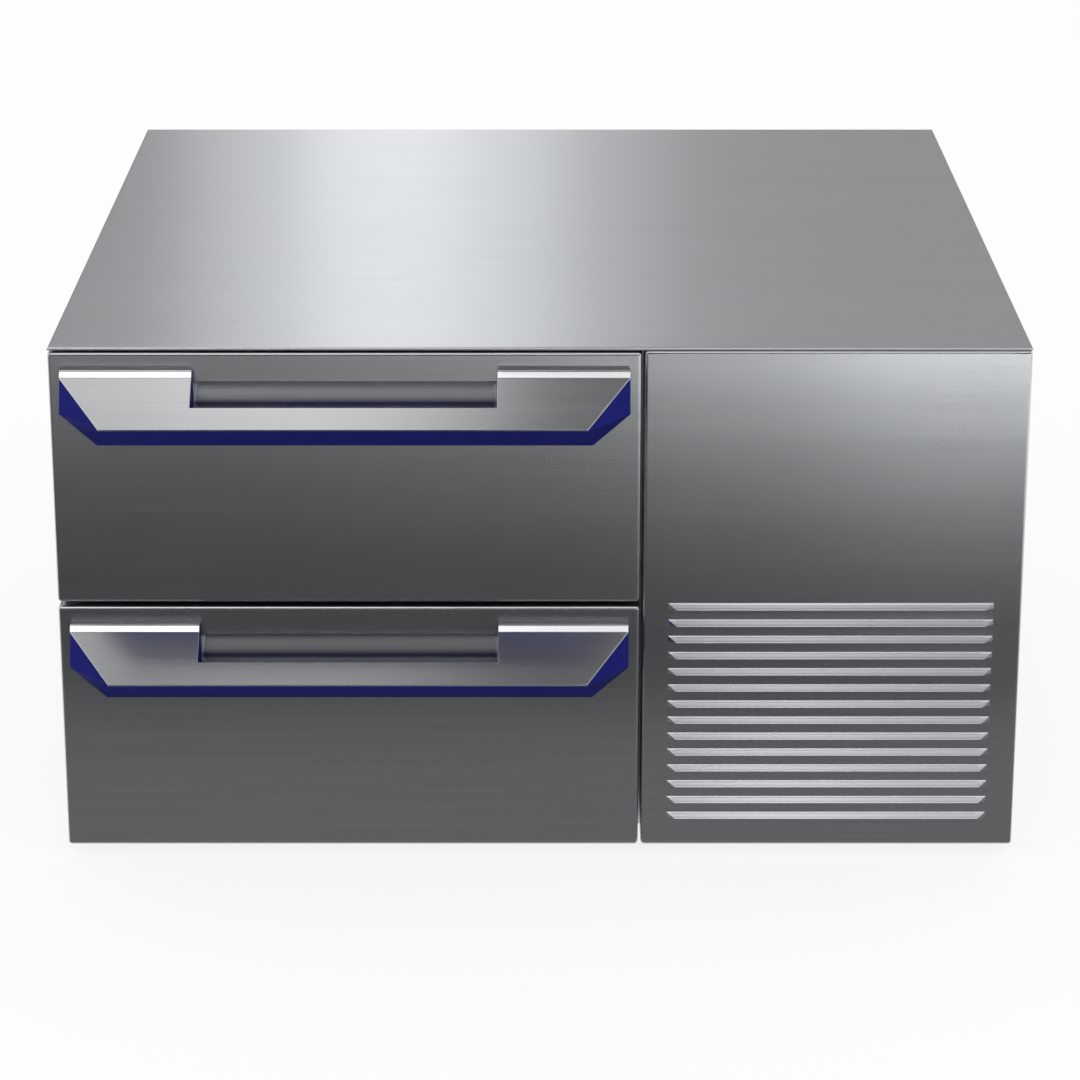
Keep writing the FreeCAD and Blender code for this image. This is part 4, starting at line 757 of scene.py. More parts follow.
def make_finishes(colours):
    """Build the shared effects and every finish once."""
    for name, make in (("brush_lines", brush_lines_effect), ("handling_marks", handling_effect),
                       ("edge_wear", edge_wear_effect), ("speckle", speckle_effect),
                       ("settled_dust", dust_effect)):
        EFFECTS[name] = make()
    brushed_steel("stainless", colours.stainless, 0.33, *ALONG_X, 0.75, "X")
    brushed_steel("stainless_fronts", colours.stainless, 0.235, *ALONG_X, 0.45, "X")
    brushed_steel("stainless_sides", colours.stainless, 0.33, *ALONG_Y, 0.6, "Y")
    brushed_steel("handle_steel", colours.handle, 0.205, *ALONG_X, 0.6, "X", 0.04)
    plated_steel("galvanised", colours.galvanised, 95.0, 0.42)
    plated_steel("slide_zinc", colours.zinc, 900.0, 0.3, 0.05)
    moulded("navy_plastic", colours.moulding, 0.5, 1400.0, 0.08, (0.02, 0.03, 0.2), specular=0.06,
            dusty=0.02)
    foamed("foam", colours.foam)
    moulded("gasket_rubber", colours.gasket, 0.62, 900.0, 0.2, (0.12, 0.12, 0.12))
    moulded("black_rubber", colours.black_rubber, 0.75, 600.0, 0.35, (0.08, 0.08, 0.08), dusty=0.35)
    moulded("black_plastic", colours.black_plastic, 0.48, 1100.0, 0.2, (0.09, 0.09, 0.09))
    moulded("grey_plastic", colours.grey_plastic, 0.5, 1000.0, 0.15, (0.4, 0.4, 0.4), patchy=0.08)
    moulded("white_plastic", colours.white_plastic, 0.42, 1000.0, 0.12, (0.8, 0.8, 0.78), patchy=0.05)
    plain_metal("fin_aluminium", colours.aluminium, 0.34, 1500.0, (0.5, 0.5, 0.5))
    plain_metal("copper", colours.copper, 0.27, 900.0, (0.35, 0.17, 0.1))
    plain_metal("brass_pin", (0.78, 0.62, 0.3), 0.25, 900.0, (0.4, 0.3, 0.15))
    plain_metal("feet_steel", colours.fastener, 0.3, 900.0, (0.35, 0.33, 0.3))
    moulded("compressor_black", colours.enamel, 0.3, 500.0, 0.12, (0.14, 0.14, 0.14), coat=0.4, dusty=0.3)
    circuit_board("circuit_green", colours.board)
    moulded("insulation_black", colours.black_rubber, 0.85, 350.0, 0.7, (0.06, 0.06, 0.06))
    studio_floor("studio_floor", colours.floor)


def finish_nodes(name, *nodes):
    """Give carried-over construction nodes a finish."""
    for node in nodes:
        mesh = NODES[node].data
        if not mesh.materials:
            mesh.materials.append(FINISHES[name])
        for index in range(len(mesh.materials)):
            mesh.materials[index] = FINISHES[name]


# ---- pieces -------------------------------------------------------------------------------------------
class FinishCabinet(bpy.types.Operator):
    """Finish the cabinet's sheets, frame, foam and drawer fronts"""

    bl_idname = "refrigerator.finish_cabinet"
    bl_label = "Cabinet finishes"

    def execute(self, context):
        make_finishes(context.scene.refrigerator_colours)
        by_slot = {row["node"]: row["material_slot"] for row in frame["record"]["subparts"]}
        for node, slot in by_slot.items():
            finish_nodes(slot, node)
        finish_nodes("stainless_sides", "side_panel_left", "side_panel_right")
        finish_nodes("stainless_fronts", "upper_front_skin", "lower_front_skin")
        return {"FINISHED"}


def handle_rows(bend):
    """The folded plate's section as (out, drop) rows, with a row where the notch starts."""
    path = bent_path([(out, drop, 0.0) for out, drop in HANDLE_SECTION], bend, 5)
    rows = [(point.x, point.y) for point in path]
    slope = (HANDLE_SECTION[3][1] - HANDLE_SECTION[2][1]) / (HANDLE_SECTION[3][0] - HANDLE_SECTION[2][0])
    rows.insert(-1, (NOTCH_OUT, HANDLE_SECTION[2][1] + slope * (NOTCH_OUT - HANDLE_SECTION[2][0])))
    return rows


def half_width_at(out):
    """Half the handle's width where its slanted ends are this far out."""
    share = max(0.0, (out - HANDLE_SECTION[2][0]) / (HANDLE_SECTION[3][0] - HANDLE_SECTION[2][0]))
    return HANDLE_HALF_W - share * (HANDLE_HALF_W - LIP_HALF_W)


class BuildHandlePlates(bpy.types.Operator):
    """Fold the two handle plates from sheet, with round bends and a notch for the fingers"""

    bl_idname = "refrigerator.build_handle_plates"
    bl_label = "Handle plates"

    def execute(self, context):
        rows = handle_rows(context.scene.refrigerator_sizes.handle_bend)
        for name, sizes in DRAWERS.items():
            top = sizes["front_top"]
            plate = Shape()
            points = []
            for out, drop in rows:
                half = half_width_at(out)
                for x in (HANDLE_MID_X - half, *NOTCH_X, HANDLE_MID_X + half):
                    points.append((x, FRONT_Y - out, top - drop))
            notch = {(row, 1) for row, (out, drop) in enumerate(rows) if out < NOTCH_OUT}
            plate.add(points, grid_faces(len(rows), 4, notch))
            add_piece(name + "_handle_plate_folded", plate, "handle_steel", name + "_drawer",
                      stands_for=[name + "_handle_plate"], sheet=HANDLE_T, bevel=0.35)
        return {"FINISHED"}


class BuildHandleMouldings(bpy.types.Operator):
    """Mould the blue handle bodies under the plates, with softened edges and a hollow for the fingers"""

    bl_idname = "refrigerator.build_handle_mouldings"
    bl_label = "Handle mouldings"

    out = 22.0
    side_drop = 45.6
    bottom_drop = 72.3
    foot_half_w = 201.2
    hollow = ((-1.0, -1.0), (35.0, -1.0), (35.0, 51.5), (24.0, 63.5), (-1.0, 63.5))

    def execute(self, context):
        outer = [Vector((a, b, 0.0)) for a, b in HANDLE_SECTION]
        normals = []
        for first, second in zip(outer, outer[1:]):
            run = (second - first).normalized()
            normals.append(Vector((-run.y, run.x, 0.0)))
        inner = []
        for index, point in enumerate(outer):
            mean = normals[max(index - 1, 0)] + normals[min(index, 2)]
            inner.append(point + mean * (2 * (HANDLE_T + 0.02) / mean.length_squared))
        lip_half = half_width_at(inner[3].x)
        stations = {
            "a": (HANDLE_HALF_W, inner[0]), "b": (HANDLE_HALF_W, inner[1]), "c": (HANDLE_HALF_W, inner[2]),
            "d": (lip_half, inner[3]), "e": (HANDLE_HALF_W, (self.out, self.side_drop)),
            "f": (self.foot_half_w, (self.out, self.bottom_drop)), "g": (HANDLE_HALF_W, (0, self.side_drop)),
            "h": (self.foot_half_w, (0, self.bottom_drop)),
        }
        keys = list(stations)
        strips = ("al ar br bl", "bl br cr cl", "cl cr dr dl", "dl dr fr fl", "fl fr hr hl",
                  "al gl hl hr gr ar")
        names = [strip.split() for strip in strips]
        for tag in ("l", "r"):
            names += [[key + tag for key in group] for group in ("abceg", "cde", "dfe", "efhg")]
        for name, sizes in DRAWERS.items():
            top = sizes["front_top"]
            body = Shape()
            points = []
            for tag in (-1, 1):
                for key in keys:
                    half, section = stations[key]
                    points.append((HANDLE_MID_X + tag * half, FRONT_Y - section[0], top - section[1]))
            index = {key + tag: keys.index(key) + start
                     for tag, start in (("l", 0), ("r", len(keys))) for key in keys}
            body.add(points, [[index[corner] for corner in face] for face in names])
            space = Shape()
            section = [(FRONT_Y - out, top - drop) for out, drop in self.hollow]
            space.loft([[(x, y, z) for y, z in section] for x in NOTCH_X])
            add_piece(name + "_handle_moulding_soft", body, "navy_plastic", name + "_drawer",
                      stands_for=[name + "_handle_moulding"],
                      bevel=context.scene.refrigerator_sizes.moulding_edge, segments=3, cut=space)
        return {"FINISHED"}


def perimeter(columns, rows, inset, y, corner, steps=4):
    """Points round a panel at one inset, with the same count at every inset."""
    x0, x1, z0, z1 = columns[0], columns[-1], rows[0], rows[-1]
    radius = max(corner - inset, 0.0)
    points = []

    def turn(cx, cz, start):
        for step in range(steps + 1):
            angle = math.radians(start + 90 * step / steps)
            points.append((cx + radius * math.cos(angle), y, cz + radius * math.sin(angle)))

    keep = inset + radius
    points += [(x, y, z0 + inset) for x in columns[1:-1]]
    turn(x1 - keep, z0 + keep, -90)
    points += [(x1 - inset, y, z) for z in rows[1:-1]]
    turn(x1 - keep, z1 - keep, 0)
    points += [(x, y, z1 - inset) for x in reversed(columns[1:-1])]
    turn(x0 + keep, z1 - keep, 90)
    points += [(x0 + inset, y, z) for z in reversed(rows[1:-1])]
    turn(x0 + keep, z0 + keep, 180)
    return points


class BuildFingerScoops(bpy.types.Operator):
    """Line the recess behind each handle with a sheet that leans back like a scoop"""

    bl_idname = "refrigerator.build_finger_scoops"
    bl_label = "Finger scoops"

    recess_drop = 24.0
    side_gap = 0.3
    lining = ((0.4, 0.4), (3.4, 0.6), (5.0, 1.2), (5.6, 2.4), (5.3, 5.0), (4.0, 9.5), (2.6, 14.0),
              (1.9, 17.0), (1.8, 19.0), (2.4, 21.0), (4.2, 23.5), (7.2, 26.5), (10.4, 31.0), (12.8, 37.0),
              (13.8, 44.0), (12.9, 50.0), (9.0, 53.0), (0.5, 53.4))

    def execute(self, context):
        x0, x1 = NOTCH_X[0] + self.side_gap, NOTCH_X[1] - self.side_gap
        for name, sizes in DRAWERS.items():
            start = sizes["front_top"] - self.recess_drop
            columns = [x0, x0 + 1.2, x0 + 3.2, x1 - 3.2, x1 - 1.2, x1]
            shares = [0.25, 0.72, 1.0, 1.0, 0.72, 0.25]
            points = [(x, FRONT_Y + deep * share, start - drop)
                      for deep, drop in self.lining for x, share in zip(columns, shares)]
            lining = Shape().add(points, grid_faces(len(self.lining), len(columns)))
            add_piece(name + "_finger_scoop", lining, "stainless", name + "_drawer", sheet=0.5)
        return {"FINISHED"}


class BuildServicePanel(bpy.types.Operator):
    """Press the service panel from one sheet: louvres that open downwards, rolled edges, turned-in lips"""

    bl_idname = "refrigerator.build_service_panel"
    bl_label = "Service panel"

    edge_r = 2.8
    lip_r = 1.5
    corner_r = 3.0
    lip = 16.0
    louvre_x = (106.5, 376.6)
    first_z = 230.3
    taper = 7.0
    drop = 5.0
    hood = ((0.0, 0.0), (0.14, 0.06), (0.3, 0.24), (0.6, 0.56), (0.86, 0.85), (0.95, 0.96), (1.0, 1.0))

    def execute(self, context):
        sizes = context.scene.refrigerator_sizes
        low, high = limits("service_panel")
        xs = (low[0], high[0])
        zs = (low[2], high[2])
        x0, x1 = self.louvre_x
        ramp = [out for down, out in self.hood]
        left = [x0 + self.taper * share for share in ramp]
        right = [x1 - self.taper * share for share in reversed(ramp)]
        columns = [xs[0] + self.edge_r, *left, *right, xs[1] - self.edge_r]
        reach = [0.0, *ramp, *reversed(ramp), 0.0]
        grid = [(zs[0] + self.edge_r, None)]
        for index in range(sizes.louvre_count - 1, -1, -1):
            top = self.first_z - index * sizes.louvre_pitch
            grid.append((top - self.drop, "sheet"))
            for down, out in reversed(self.hood):
                grid.append((top - self.drop * down, out * sizes.louvre_out))
        grid.append((zs[1] - self.edge_r, None))
        panel = Shape()
        points = []
        for z, out in grid:
            for x, share in zip(columns, reach):
                push = min(out, share * sizes.louvre_out) if isinstance(out, float) else 0.0
                points.append((x, FRONT_Y - push, z))
        width = len(columns)
        faces = []
        for row in range(len(grid) - 1):
            for column in range(width - 1):
                if grid[row][1] == "sheet" and 1 <= column < width - 2:
                    continue
                first = row * width + column
                corners = [first, first + 1, first + width + 1, first + width]
                pushes = [points[corner][1] for corner in corners]
                if max(pushes) - min(pushes) < 1e-6 or column in (0, len(ramp), width - 2):
                    faces.append(corners)
                elif column < len(ramp):
                    faces += [(corners[0], corners[1], corners[3]), (corners[1], corners[2], corners[3])]
                else:
                    faces += [(corners[0], corners[1], corners[2]), (corners[0], corners[2], corners[3])]
        panel.add(points, faces)
        rows = sorted({z for z, out in grid})
        frame_x = [xs[0], *columns[1:-1], xs[1]]
        frame_z = [zs[0], *rows[1:-1], zs[1]]
        loops = []
        steps = 5
        back_y = FRONT_Y + FRONT_T
        turns = [math.radians(90 * step / steps) for step in range(steps + 1)]
        stations = [(self.edge_r * (1 - math.sin(angle)), FRONT_Y + self.edge_r * (1 - math.cos(angle)))
                    for angle in turns]
        stations += [(self.lip_r * (1 - math.cos(angle)), back_y - self.lip_r * (1 - math.sin(angle)))
                     for angle in turns]
        for inset, y in [*stations, (self.lip, back_y)]:
            loops.append(perimeter(frame_x, frame_z, inset, y, self.corner_r))
        panel.loft(loops[::-1], capped=False)
        add_piece("service_panel_pressed", panel, "stainless_fronts", "service_cover",
                  stands_for=["service_panel"], sheet=sizes.panel_sheet, weld=True)
        return {"FINISHED"}


class BuildGaskets(bpy.types.Operator):
    """Extrude the two drawer gaskets: a foot, folded bellows and a flat magnet face, mitred at the corners"""

    bl_idname = "refrigerator.build_gaskets"
    bl_label = "Gaskets"

    foot_t = 2.2
    foot_w = 10.0
    magnet_y = 7.7
    fold = 0.9
    over = 16.0

    def execute(self, context):
        ribs = context.scene.refrigerator_sizes.gasket_ribs
        side = [(0.0, 0.0), (0.0, self.foot_t - 0.6), (1.1, self.foot_t)]
        bellows = self.magnet_y - 1.1 - self.foot_t
        for index in range(2 * ribs):
            out = 1.1 if index % 2 else 1.1 + self.fold
            side.append((out, self.foot_t + bellows * (index + 0.7) / (2 * ribs)))
        side += [(1.3, self.magnet_y - 0.7), (2.0, self.magnet_y)]
        base = FRONT_Y + FRONT_T
        section = [(a, base + b) for a, b in side]
        section += [(self.foot_w - a, base + b) for a, b in reversed(side)]
        xs = (CELL_X[0] - self.over, CELL_X[1] + self.over)
        for name in DRAWERS:
            low, high = limits(name + "_gasket")
            gasket = ring_sweep(Shape(), section, xs, (low[2], high[2]))
            add_piece(name + "_gasket_folded", gasket, "gasket_rubber", name + "_drawer",
                      stands_for=[name + "_gasket"], bevel=0.2, segments=1)
        return {"FINISHED"}


class BuildTubs(bpy.types.Operator):
    """Form the drawer tubs: drained floors, slotted sides, folded rims and the screws on the inner panels"""

    bl_idname = "refrigerator.build_tubs"
    bl_label = "Drawer tubs"

    sheet = 1.2
    rim = 12.0
    rim_lip = 7.0
    hole = 10.0

    def walls(self, low, high):
        """Floor, sides and back, each laid out on its inner face."""
        t = self.sheet
        x0, y0, z0 = low
        x1, y1, z1 = high
        tub = Shape()
        us = even(x0, x1, 8)
        vs = even(y0, y1, 12)
        drains = {(i, j) for i in range(1, 7) for j in range(1, 11)}
        gap = ((us[1] - us[0] - self.hole) / 2, (vs[1] - vs[0] - self.hole) / 2)
        tub.join(pierced(us, vs, drains, gap, self.hole / 2, lambda u, v: (u, v, z0 + t)))
        inside = (z0 + t, z1 - t)
        height = inside[1] - inside[0]
        lines = [inside[0], inside[0] + 0.3 * height, inside[0] + 0.62 * height, inside[1]]
        ys = even(y0, y1 - t, 6)
        open_cells = {(i, 1) for i in range(1, 5)}
        slot = (14.0, 0.32 * height / 2 - 5.0)
        tub.join(pierced(ys, lines, open_cells, slot, 4.5, lambda u, v: (x0 + t, u, v)))
        tub.join(pierced(lines, ys, {(j, i) for i, j in open_cells}, slot[::-1], 4.5,
                         lambda u, v: (x1 - t, v, u)))
        xs = even(x0 + t, x1 - t, 4)
        tub.join(pierced(xs, lines, {(1, 1), (2, 1)}, slot, 4.5, lambda u, v: (u, y1 - t, v)))
        return tub

    def rims(self, low, high):
        """Folded edges along both sides and the back."""
        t = self.sheet
        top, bottom = high[2], high[2] - self.rim_lip
        rims = Shape()

        def hook(edge, way):
            outer, inner = edge + way * self.rim, edge + way * (self.rim - t)
            return [(edge, top - t), (edge, top), (outer, top), (outer, bottom), (inner, bottom),
                    (inner, top - t)]

        for x, way in ((low[0], 1), (high[0], -1)):
            along_y(rims, hook(x, way), low[1], high[1])
        ends = (low[0] + self.rim, high[0] - self.rim)
        rims.loft([[(x, y, z) for y, z in hook(high[1], -1)] for x in ends])
        return rims

    def execute(self, context):
        for name in DRAWERS:
            low, high = limits(name + "_tub")
            body = name + "_drawer"
            add_piece(name + "_tub_formed", self.walls(low, high), "stainless", body,
                      stands_for=[name + "_tub"], sheet=self.sheet, weld=True)
            add_piece(name + "_tub_rims", self.rims(low, high), "stainless", body, bevel=0.5)
            front_low, front_high = limits(name + "_front_inner")
            screws = Shape()
            for x in (front_low[0] + 12, front_high[0] - 12):
                for z in (front_low[2] + 10, (front_low[2] + front_high[2]) / 2, front_high[2] - 10):
                    dome(screws, (x, front_high[1], z), "Y", 3.4, 1.8)
            add_piece(name + "_front_screws", screws, "feet_steel", body)
        return {"FINISHED"}


class BuildSlides(bpy.types.Operator):
    """Fit the telescopic slides with rows of balls and fixing screws"""

    bl_idname = "refrigerator.build_slides"
    bl_label = "Slide details"

    axis_rise = 58.0
    ball_rows = ((20.4, 60.0), (16.8, -300.0))
    ball_r = 0.95
    ball_x = 8.0
    pitch = 9.0
    screw_ys = (-300.0, -60.0, 200.0)

    def execute(self, context):
        count = context.scene.refrigerator_sizes.slide_balls
        for name, sizes in DRAWERS.items():
            axis_z = sizes["cell_floor"] + self.axis_rise
            balls = Shape()
            screws = Shape()
            for wall, way in ((CELL_X[0], 1), (CELL_X[1], -1)):
                x = wall + way * self.ball_x
                for rise, start in self.ball_rows:
                    for z in (axis_z - rise, axis_z + rise):
                        for k in range(count):
                            ball(balls, (x, start + k * self.pitch, z), self.ball_r)
                for y in self.screw_ys:
                    shank = [(3.6, 0.0), (3.6, way * 0.7), (2.4, way * 1.3), (0.3, way * 1.35)]
                    screws.turned(shank, (wall + way * 1.6, y, axis_z), "X", 16)
            add_piece(name + "_slide_balls", balls, "feet_steel", name + "_runner")
            add_piece(name + "_slide_screws", screws, "feet_steel", "cabinet")
        return {"FINISHED"}


class BuildFeet(bpy.types.Operator):
    """Turn the levelling feet: rounded pads, a collar, a threaded stem and a hexagon nut"""

    bl_idname = "refrigerator.build_feet"
    bl_label = "Levelling feet"

    spots = [(x, y) for x in (-350.0, 350.0) for y in (-255.0, 365.0)]
    pad = [(16.5, 0.0), (18.8, 0.3), (19.8, 1.3), (20.0, 3.0), (19.4, 4.6), (17.6, 5.3), (11.0, 8.4),
           (9.4, 9.2), (9.0, 10.2), (9.0, 11.9), (4.2, 12.0)]
    thread_zs = (12.2, 28.0)
    nut_zs = (17.3, 23.2)
    nut_r = 7.5

    def execute(self, context):
        feet = Shape()
        for x, y in self.spots:
            turns = list(self.pad)
            z = self.thread_zs[0]
            while z < self.thread_zs[1]:
                turns += [(3.5, z), (4.0, z + 0.5)]
                z += 1.0
            turns += [(3.3, self.thread_zs[1]), (0.2, self.thread_zs[1])]
            feet.turned(turns, (x, y, 0.0), "Z", 28)
            low, high = self.nut_zs
            levels = ((0.9, low), (1.0, low + 0.5), (1.0, high - 0.5), (0.9, high))
            hexagon(feet, (x, y, 0.0), self.nut_r, levels)
        add_piece("levelling_feet_turned", feet, "feet_steel", "cabinet", stands_for=["levelling_feet"])
        return {"FINISHED"}


class BuildRear(bpy.types.Operator):
    """Press the slotted rear grille and the back's beads, set screws and rivets, mould the power inlet"""

    bl_idname = "refrigerator.build_rear"
    bl_label = "Rear"

    slot_low = 64.0
    slot_pitch = 20.0
    slots = 9
    inlet = (330.0, 350.0)
    inlet_half = (12.0, 8.0)
    bead_zs = (95.0, 230.0, 365.0)
    bead_xs = (-350.0, 35.0)
    bead = ((7.0, -0.02), (6.2, 0.5), (4.4, 1.2), (2.4, 1.6), (0.8, 1.7))
    screws = [(x, z) for x in (93.0, 391.0) for z in (25.0, 228.0, 437.0)]
    pan_head = [(1.9, -7.2), (2.0, 0.0), (3.9, 0.02), (3.9, 0.7), (3.2, 1.5), (1.4, 1.9), (1.2, 1.1),
                (0.1, 1.1)]
    sheet = 1.2
    pins = ((-7, -2), (0, 2), (7, -2))
    pin_half = (1, 2)
    rivets = ([(x, z) for z in (24.0, 130.0, 236.0, 342.0, 436.0) for x in (-390.0, 75.0)]
              + [(x, z) for x in (-280.0, -170.0, -60.0) for z in (24.0, 436.0)])

    def grille(self):
        """Sheet behind the machine bay with round-ended slots and the inlet's opening."""
        low, high = limits("rear_grille")
        x0, x1, z0, z1 = low[0], high[0], low[2], high[2]
        us = [x0, 120.0, 365.0, x1]
        rows = [self.slot_low + k * self.slot_pitch for k in range(self.slots + 1)]
        hole_us = [x0, self.inlet[0] - 17.5, self.inlet[0] + 17.5, x1]
        hole_vs = [self.inlet[1] - 13.5, self.inlet[1] + 13.5]
        bands = [
            ([x0, x1], [z0, z0 + 30.0], set(), (0, 0), 0, 3),
            (us, rows, {(1, k) for k in range(self.slots)}, (5.0, 6.0), 4.0, 5),
            (hole_us, hole_vs, {(1, 0)}, (5.0, 5.0), 1.5, 3),
            ([x0, x1], [z1 - 30.0, z1], set(), (0, 0), 0, 3),
        ]
        return stacked(bands, lambda u, v: (u, BACK_Y - self.sheet, v))

    def socket(self):
        """Recessed inlet body with ears."""
        cx, cz = self.inlet
        hx, hz = self.inlet_half
        mouth = BACK_Y - self.sheet

        def loop(grow, y, radius):
            return [(u, y, v) for u, v in rounded_loop((cx - hx - grow, cx + hx + grow),
                                                       (cz - hz - grow, cz + hz + grow), radius)]

        body = Shape()
        body.loft([loop(2.5, 406.0, 2.0), loop(2.5, mouth, 2.0), loop(1.6, mouth, 2.0),
                   loop(0.0, mouth - 1.5, 1.4), loop(0.0, 412.0, 1.4)])
        for side in (-1, 1):
            ear_xs = sorted((cx + side * (hx + 2.5), cx + side * (hx + 12.5)))
            ear = rounded_loop(ear_xs, (cz - hz, cz + hz), 3.0)
            body.plate(ear, lambda u, v, level: (u, level, v), mouth - 2.0, mouth - 0.05)
        return body

    def execute(self, context):
        add_piece("rear_grille_slotted", self.grille(), "galvanised", "cabinet", stands_for=["rear_grille"],
                  sheet=self.sheet, side=1.0, weld=True)
        screws = Shape()
        for x, z in self.screws:
            screws.turned(self.pan_head, (x, BACK_Y, z), "Y", 20)
        add_piece("rear_screws_pan_head", screws, "feet_steel", "cabinet", stands_for=["rear_screws"])
        rivets = Shape()
        for x, z in self.rivets:
            dome(rivets, (x, BACK_Y, z), "Y", 3.2, 1.2)
        beads = Shape()
        for z in self.bead_zs:
            loops = []
            for half, level in self.bead:
                outline = rounded_loop((self.bead_xs[0] - half, self.bead_xs[1] + half), (z - half, z + half),
                                       half * 0.999, 8)
                loops.append([(u, BACK_Y + level, v) for u, v in outline])
            beads.loft(loops)
        add_piece("back_panel_beads", beads, "galvanised", "cabinet")
        add_piece("rear_rivets", rivets, "fin_aluminium", "cabinet")
        add_piece("power_inlet_moulded", self.socket(), "black_plastic", "cabinet",
                  stands_for=["power_inlet"], bevel=0.25)
        pins = Shape()
        half_x, half_z = self.pin_half
        for dx, dz in self.pins:
            x, z = self.inlet[0] + dx, self.inlet[1] + dz
            loops = []
            for shrink, y in ((0.0, 411.5), (0.0, 425.5), (0.35, 426.4)):
                outline = rounded_loop((x - half_x + shrink, x + half_x - shrink),
                                       (z - half_z + shrink, z + half_z - shrink), 0.3, 2)
                loops.append([(u, y, v) for u, v in outline])
            pins.loft(loops)
        add_piece("power_inlet_pins", pins, "brass_pin", "cabinet")
        return {"FINISHED"}


class BuildColdSide(bpy.types.Operator):
    """Fit the cold cell: slotted coil cover, wire fan guard, finned evaporator and its fan wheel"""

    bl_idname = "refrigerator.build_cold_side"
    bl_label = "Cold side"

    fan = (CELL_MID_X, 293.0, 300.0)
    fan_r = 40.0
    hub_r = 14.0
    cover_y = 288.8
    slot_low = 71.0
    slot_pitch = 16.0
    slots = 8
    guard_rings = (10.0, 18.0, 26.0, 34.0, 42.0, 49.0)
    guard_spoke = ((8.0, -1.6), (49.0, -1.6), (53.0, 2.6), (57.0, 2.6))
    wire_r = 1.0
    coil_xs = (-338.0, 2.0, 16.0)
    coil_ys = (332.0, 352.0)
    coil_top = 190.0
    coil_gap = 25.0
    coil_rows = 5
    port_rise = 5.0
    fin_xs = (-324.0, 2.0)
    fin_t = 0.25
    end_plates = (-328.0, 4.0)
    end_t = 2.0
    hub = [(3.0, 1.0), (9.0, 0.2), (12.8, 1.2), (14.0, 3.2), (14.0, 16.0), (12.0, 16.0), (12.0, 14.0),
           (2.0, 14.0), (2.0, 30.0), (0.2, 30.2)]

    def cover(self):
        """Sheet in front of the coil with return-air slots and the fan opening."""
        low, high = limits("evaporator_cover")
        x0, x1, z0, z1 = low[0], high[0], low[2], high[2]
        thirds = even(x0 + 33.0, x1 - 33.0, 3)
        rows = [self.slot_low + k * self.slot_pitch for k in range(self.slots + 1)]
        fan_x, fan_z = self.fan[0], self.fan[2]
        slots = {(i, k) for i in (1, 2, 3) for k in range(self.slots)}
        bands = [
            ([x0, x1], [z0, z0 + 6.0], set(), (0, 0), 0, 3),
            ([x0, *thirds, x1], rows, slots, (5.0, 5.0), 3.0, 4),
            ([x0, fan_x - 50, fan_x + 50, x1], [fan_z - 50, fan_z + 50], {(1, 0)}, (7.0, 7.0), 43.0, 12),
            ([x0, x1], [z1 - 8.0, z1], set(), (0, 0), 0, 3),
        ]
        return stacked(bands, lambda u, v: (u, self.cover_y, v))

    def execute(self, context):
        sizes = context.scene.refrigerator_sizes
        add_piece("evaporator_cover_slotted", self.cover(), "stainless", "cabinet",
                  stands_for=["evaporator_cover"], sheet=1.2, weld=True)
        guard = Shape()
        wire = self.wire_r
        centre = (self.fan[0], self.cover_y - 3.0, self.fan[2])
        for radius in self.guard_rings:
            turns = [(radius + wire * math.cos(math.tau * k / 8), wire * math.sin(math.tau * k / 8))
                     for k in range(8)]
            guard.turned(turns, centre, "Y", 48, closed=True)
        for k in range(4):
            angle = math.tau * k / 4 + math.pi / 4
            spoke = [spun("Y", centre, radius, along, angle) for radius, along in self.guard_spoke]
            guard.tube(bent_path(spoke, 2.5), wire, 8)
        add_piece("evaporator_fan_guard_wire", guard, "feet_steel", "cabinet",
                  stands_for=["evaporator_fan_guard"])
        coil = Shape()
        left, right, port_x = self.coil_xs
        near, far = self.coil_ys
        levels = [self.coil_top - self.coil_gap * k for k in range(self.coil_rows)]
        route = to_and_fro((right, left), near, levels)
        route[0] = (port_x, near, levels[0])
        port_z = levels[-1] + self.port_rise
        route += [(left, far, levels[-1]), (left, far, port_z), (port_x, far, port_z)]
        coil.tube(bent_path(route, 9.0), 4.0, 12)
        for x in even(*self.fin_xs, sizes.evaporator_fins - 1):
            coil.block((x, x + self.fin_t), (322.0, 364.0), (80.0, 200.0))
        for x in self.end_plates:
            coil.block((x, x + self.end_t), (322.0, 382.0), (78.0, 204.0))
        add_piece("evaporator_coil_finned", coil, "fin_aluminium", "cabinet",
                  stands_for=["evaporator_coil"])
        wheel = blades(self.fan, self.hub_r, self.fan_r, 16.0, sizes.fan_blades, 1.0, 0.8)
        wheel.turned(self.hub, self.fan, "Y", 40)
        add_piece("evaporator_fan_wheel_curved", wheel, "white_plastic", "evaporator_fan",
                  stands_for=["evaporator_fan_blade"])
        return {"FINISHED"}


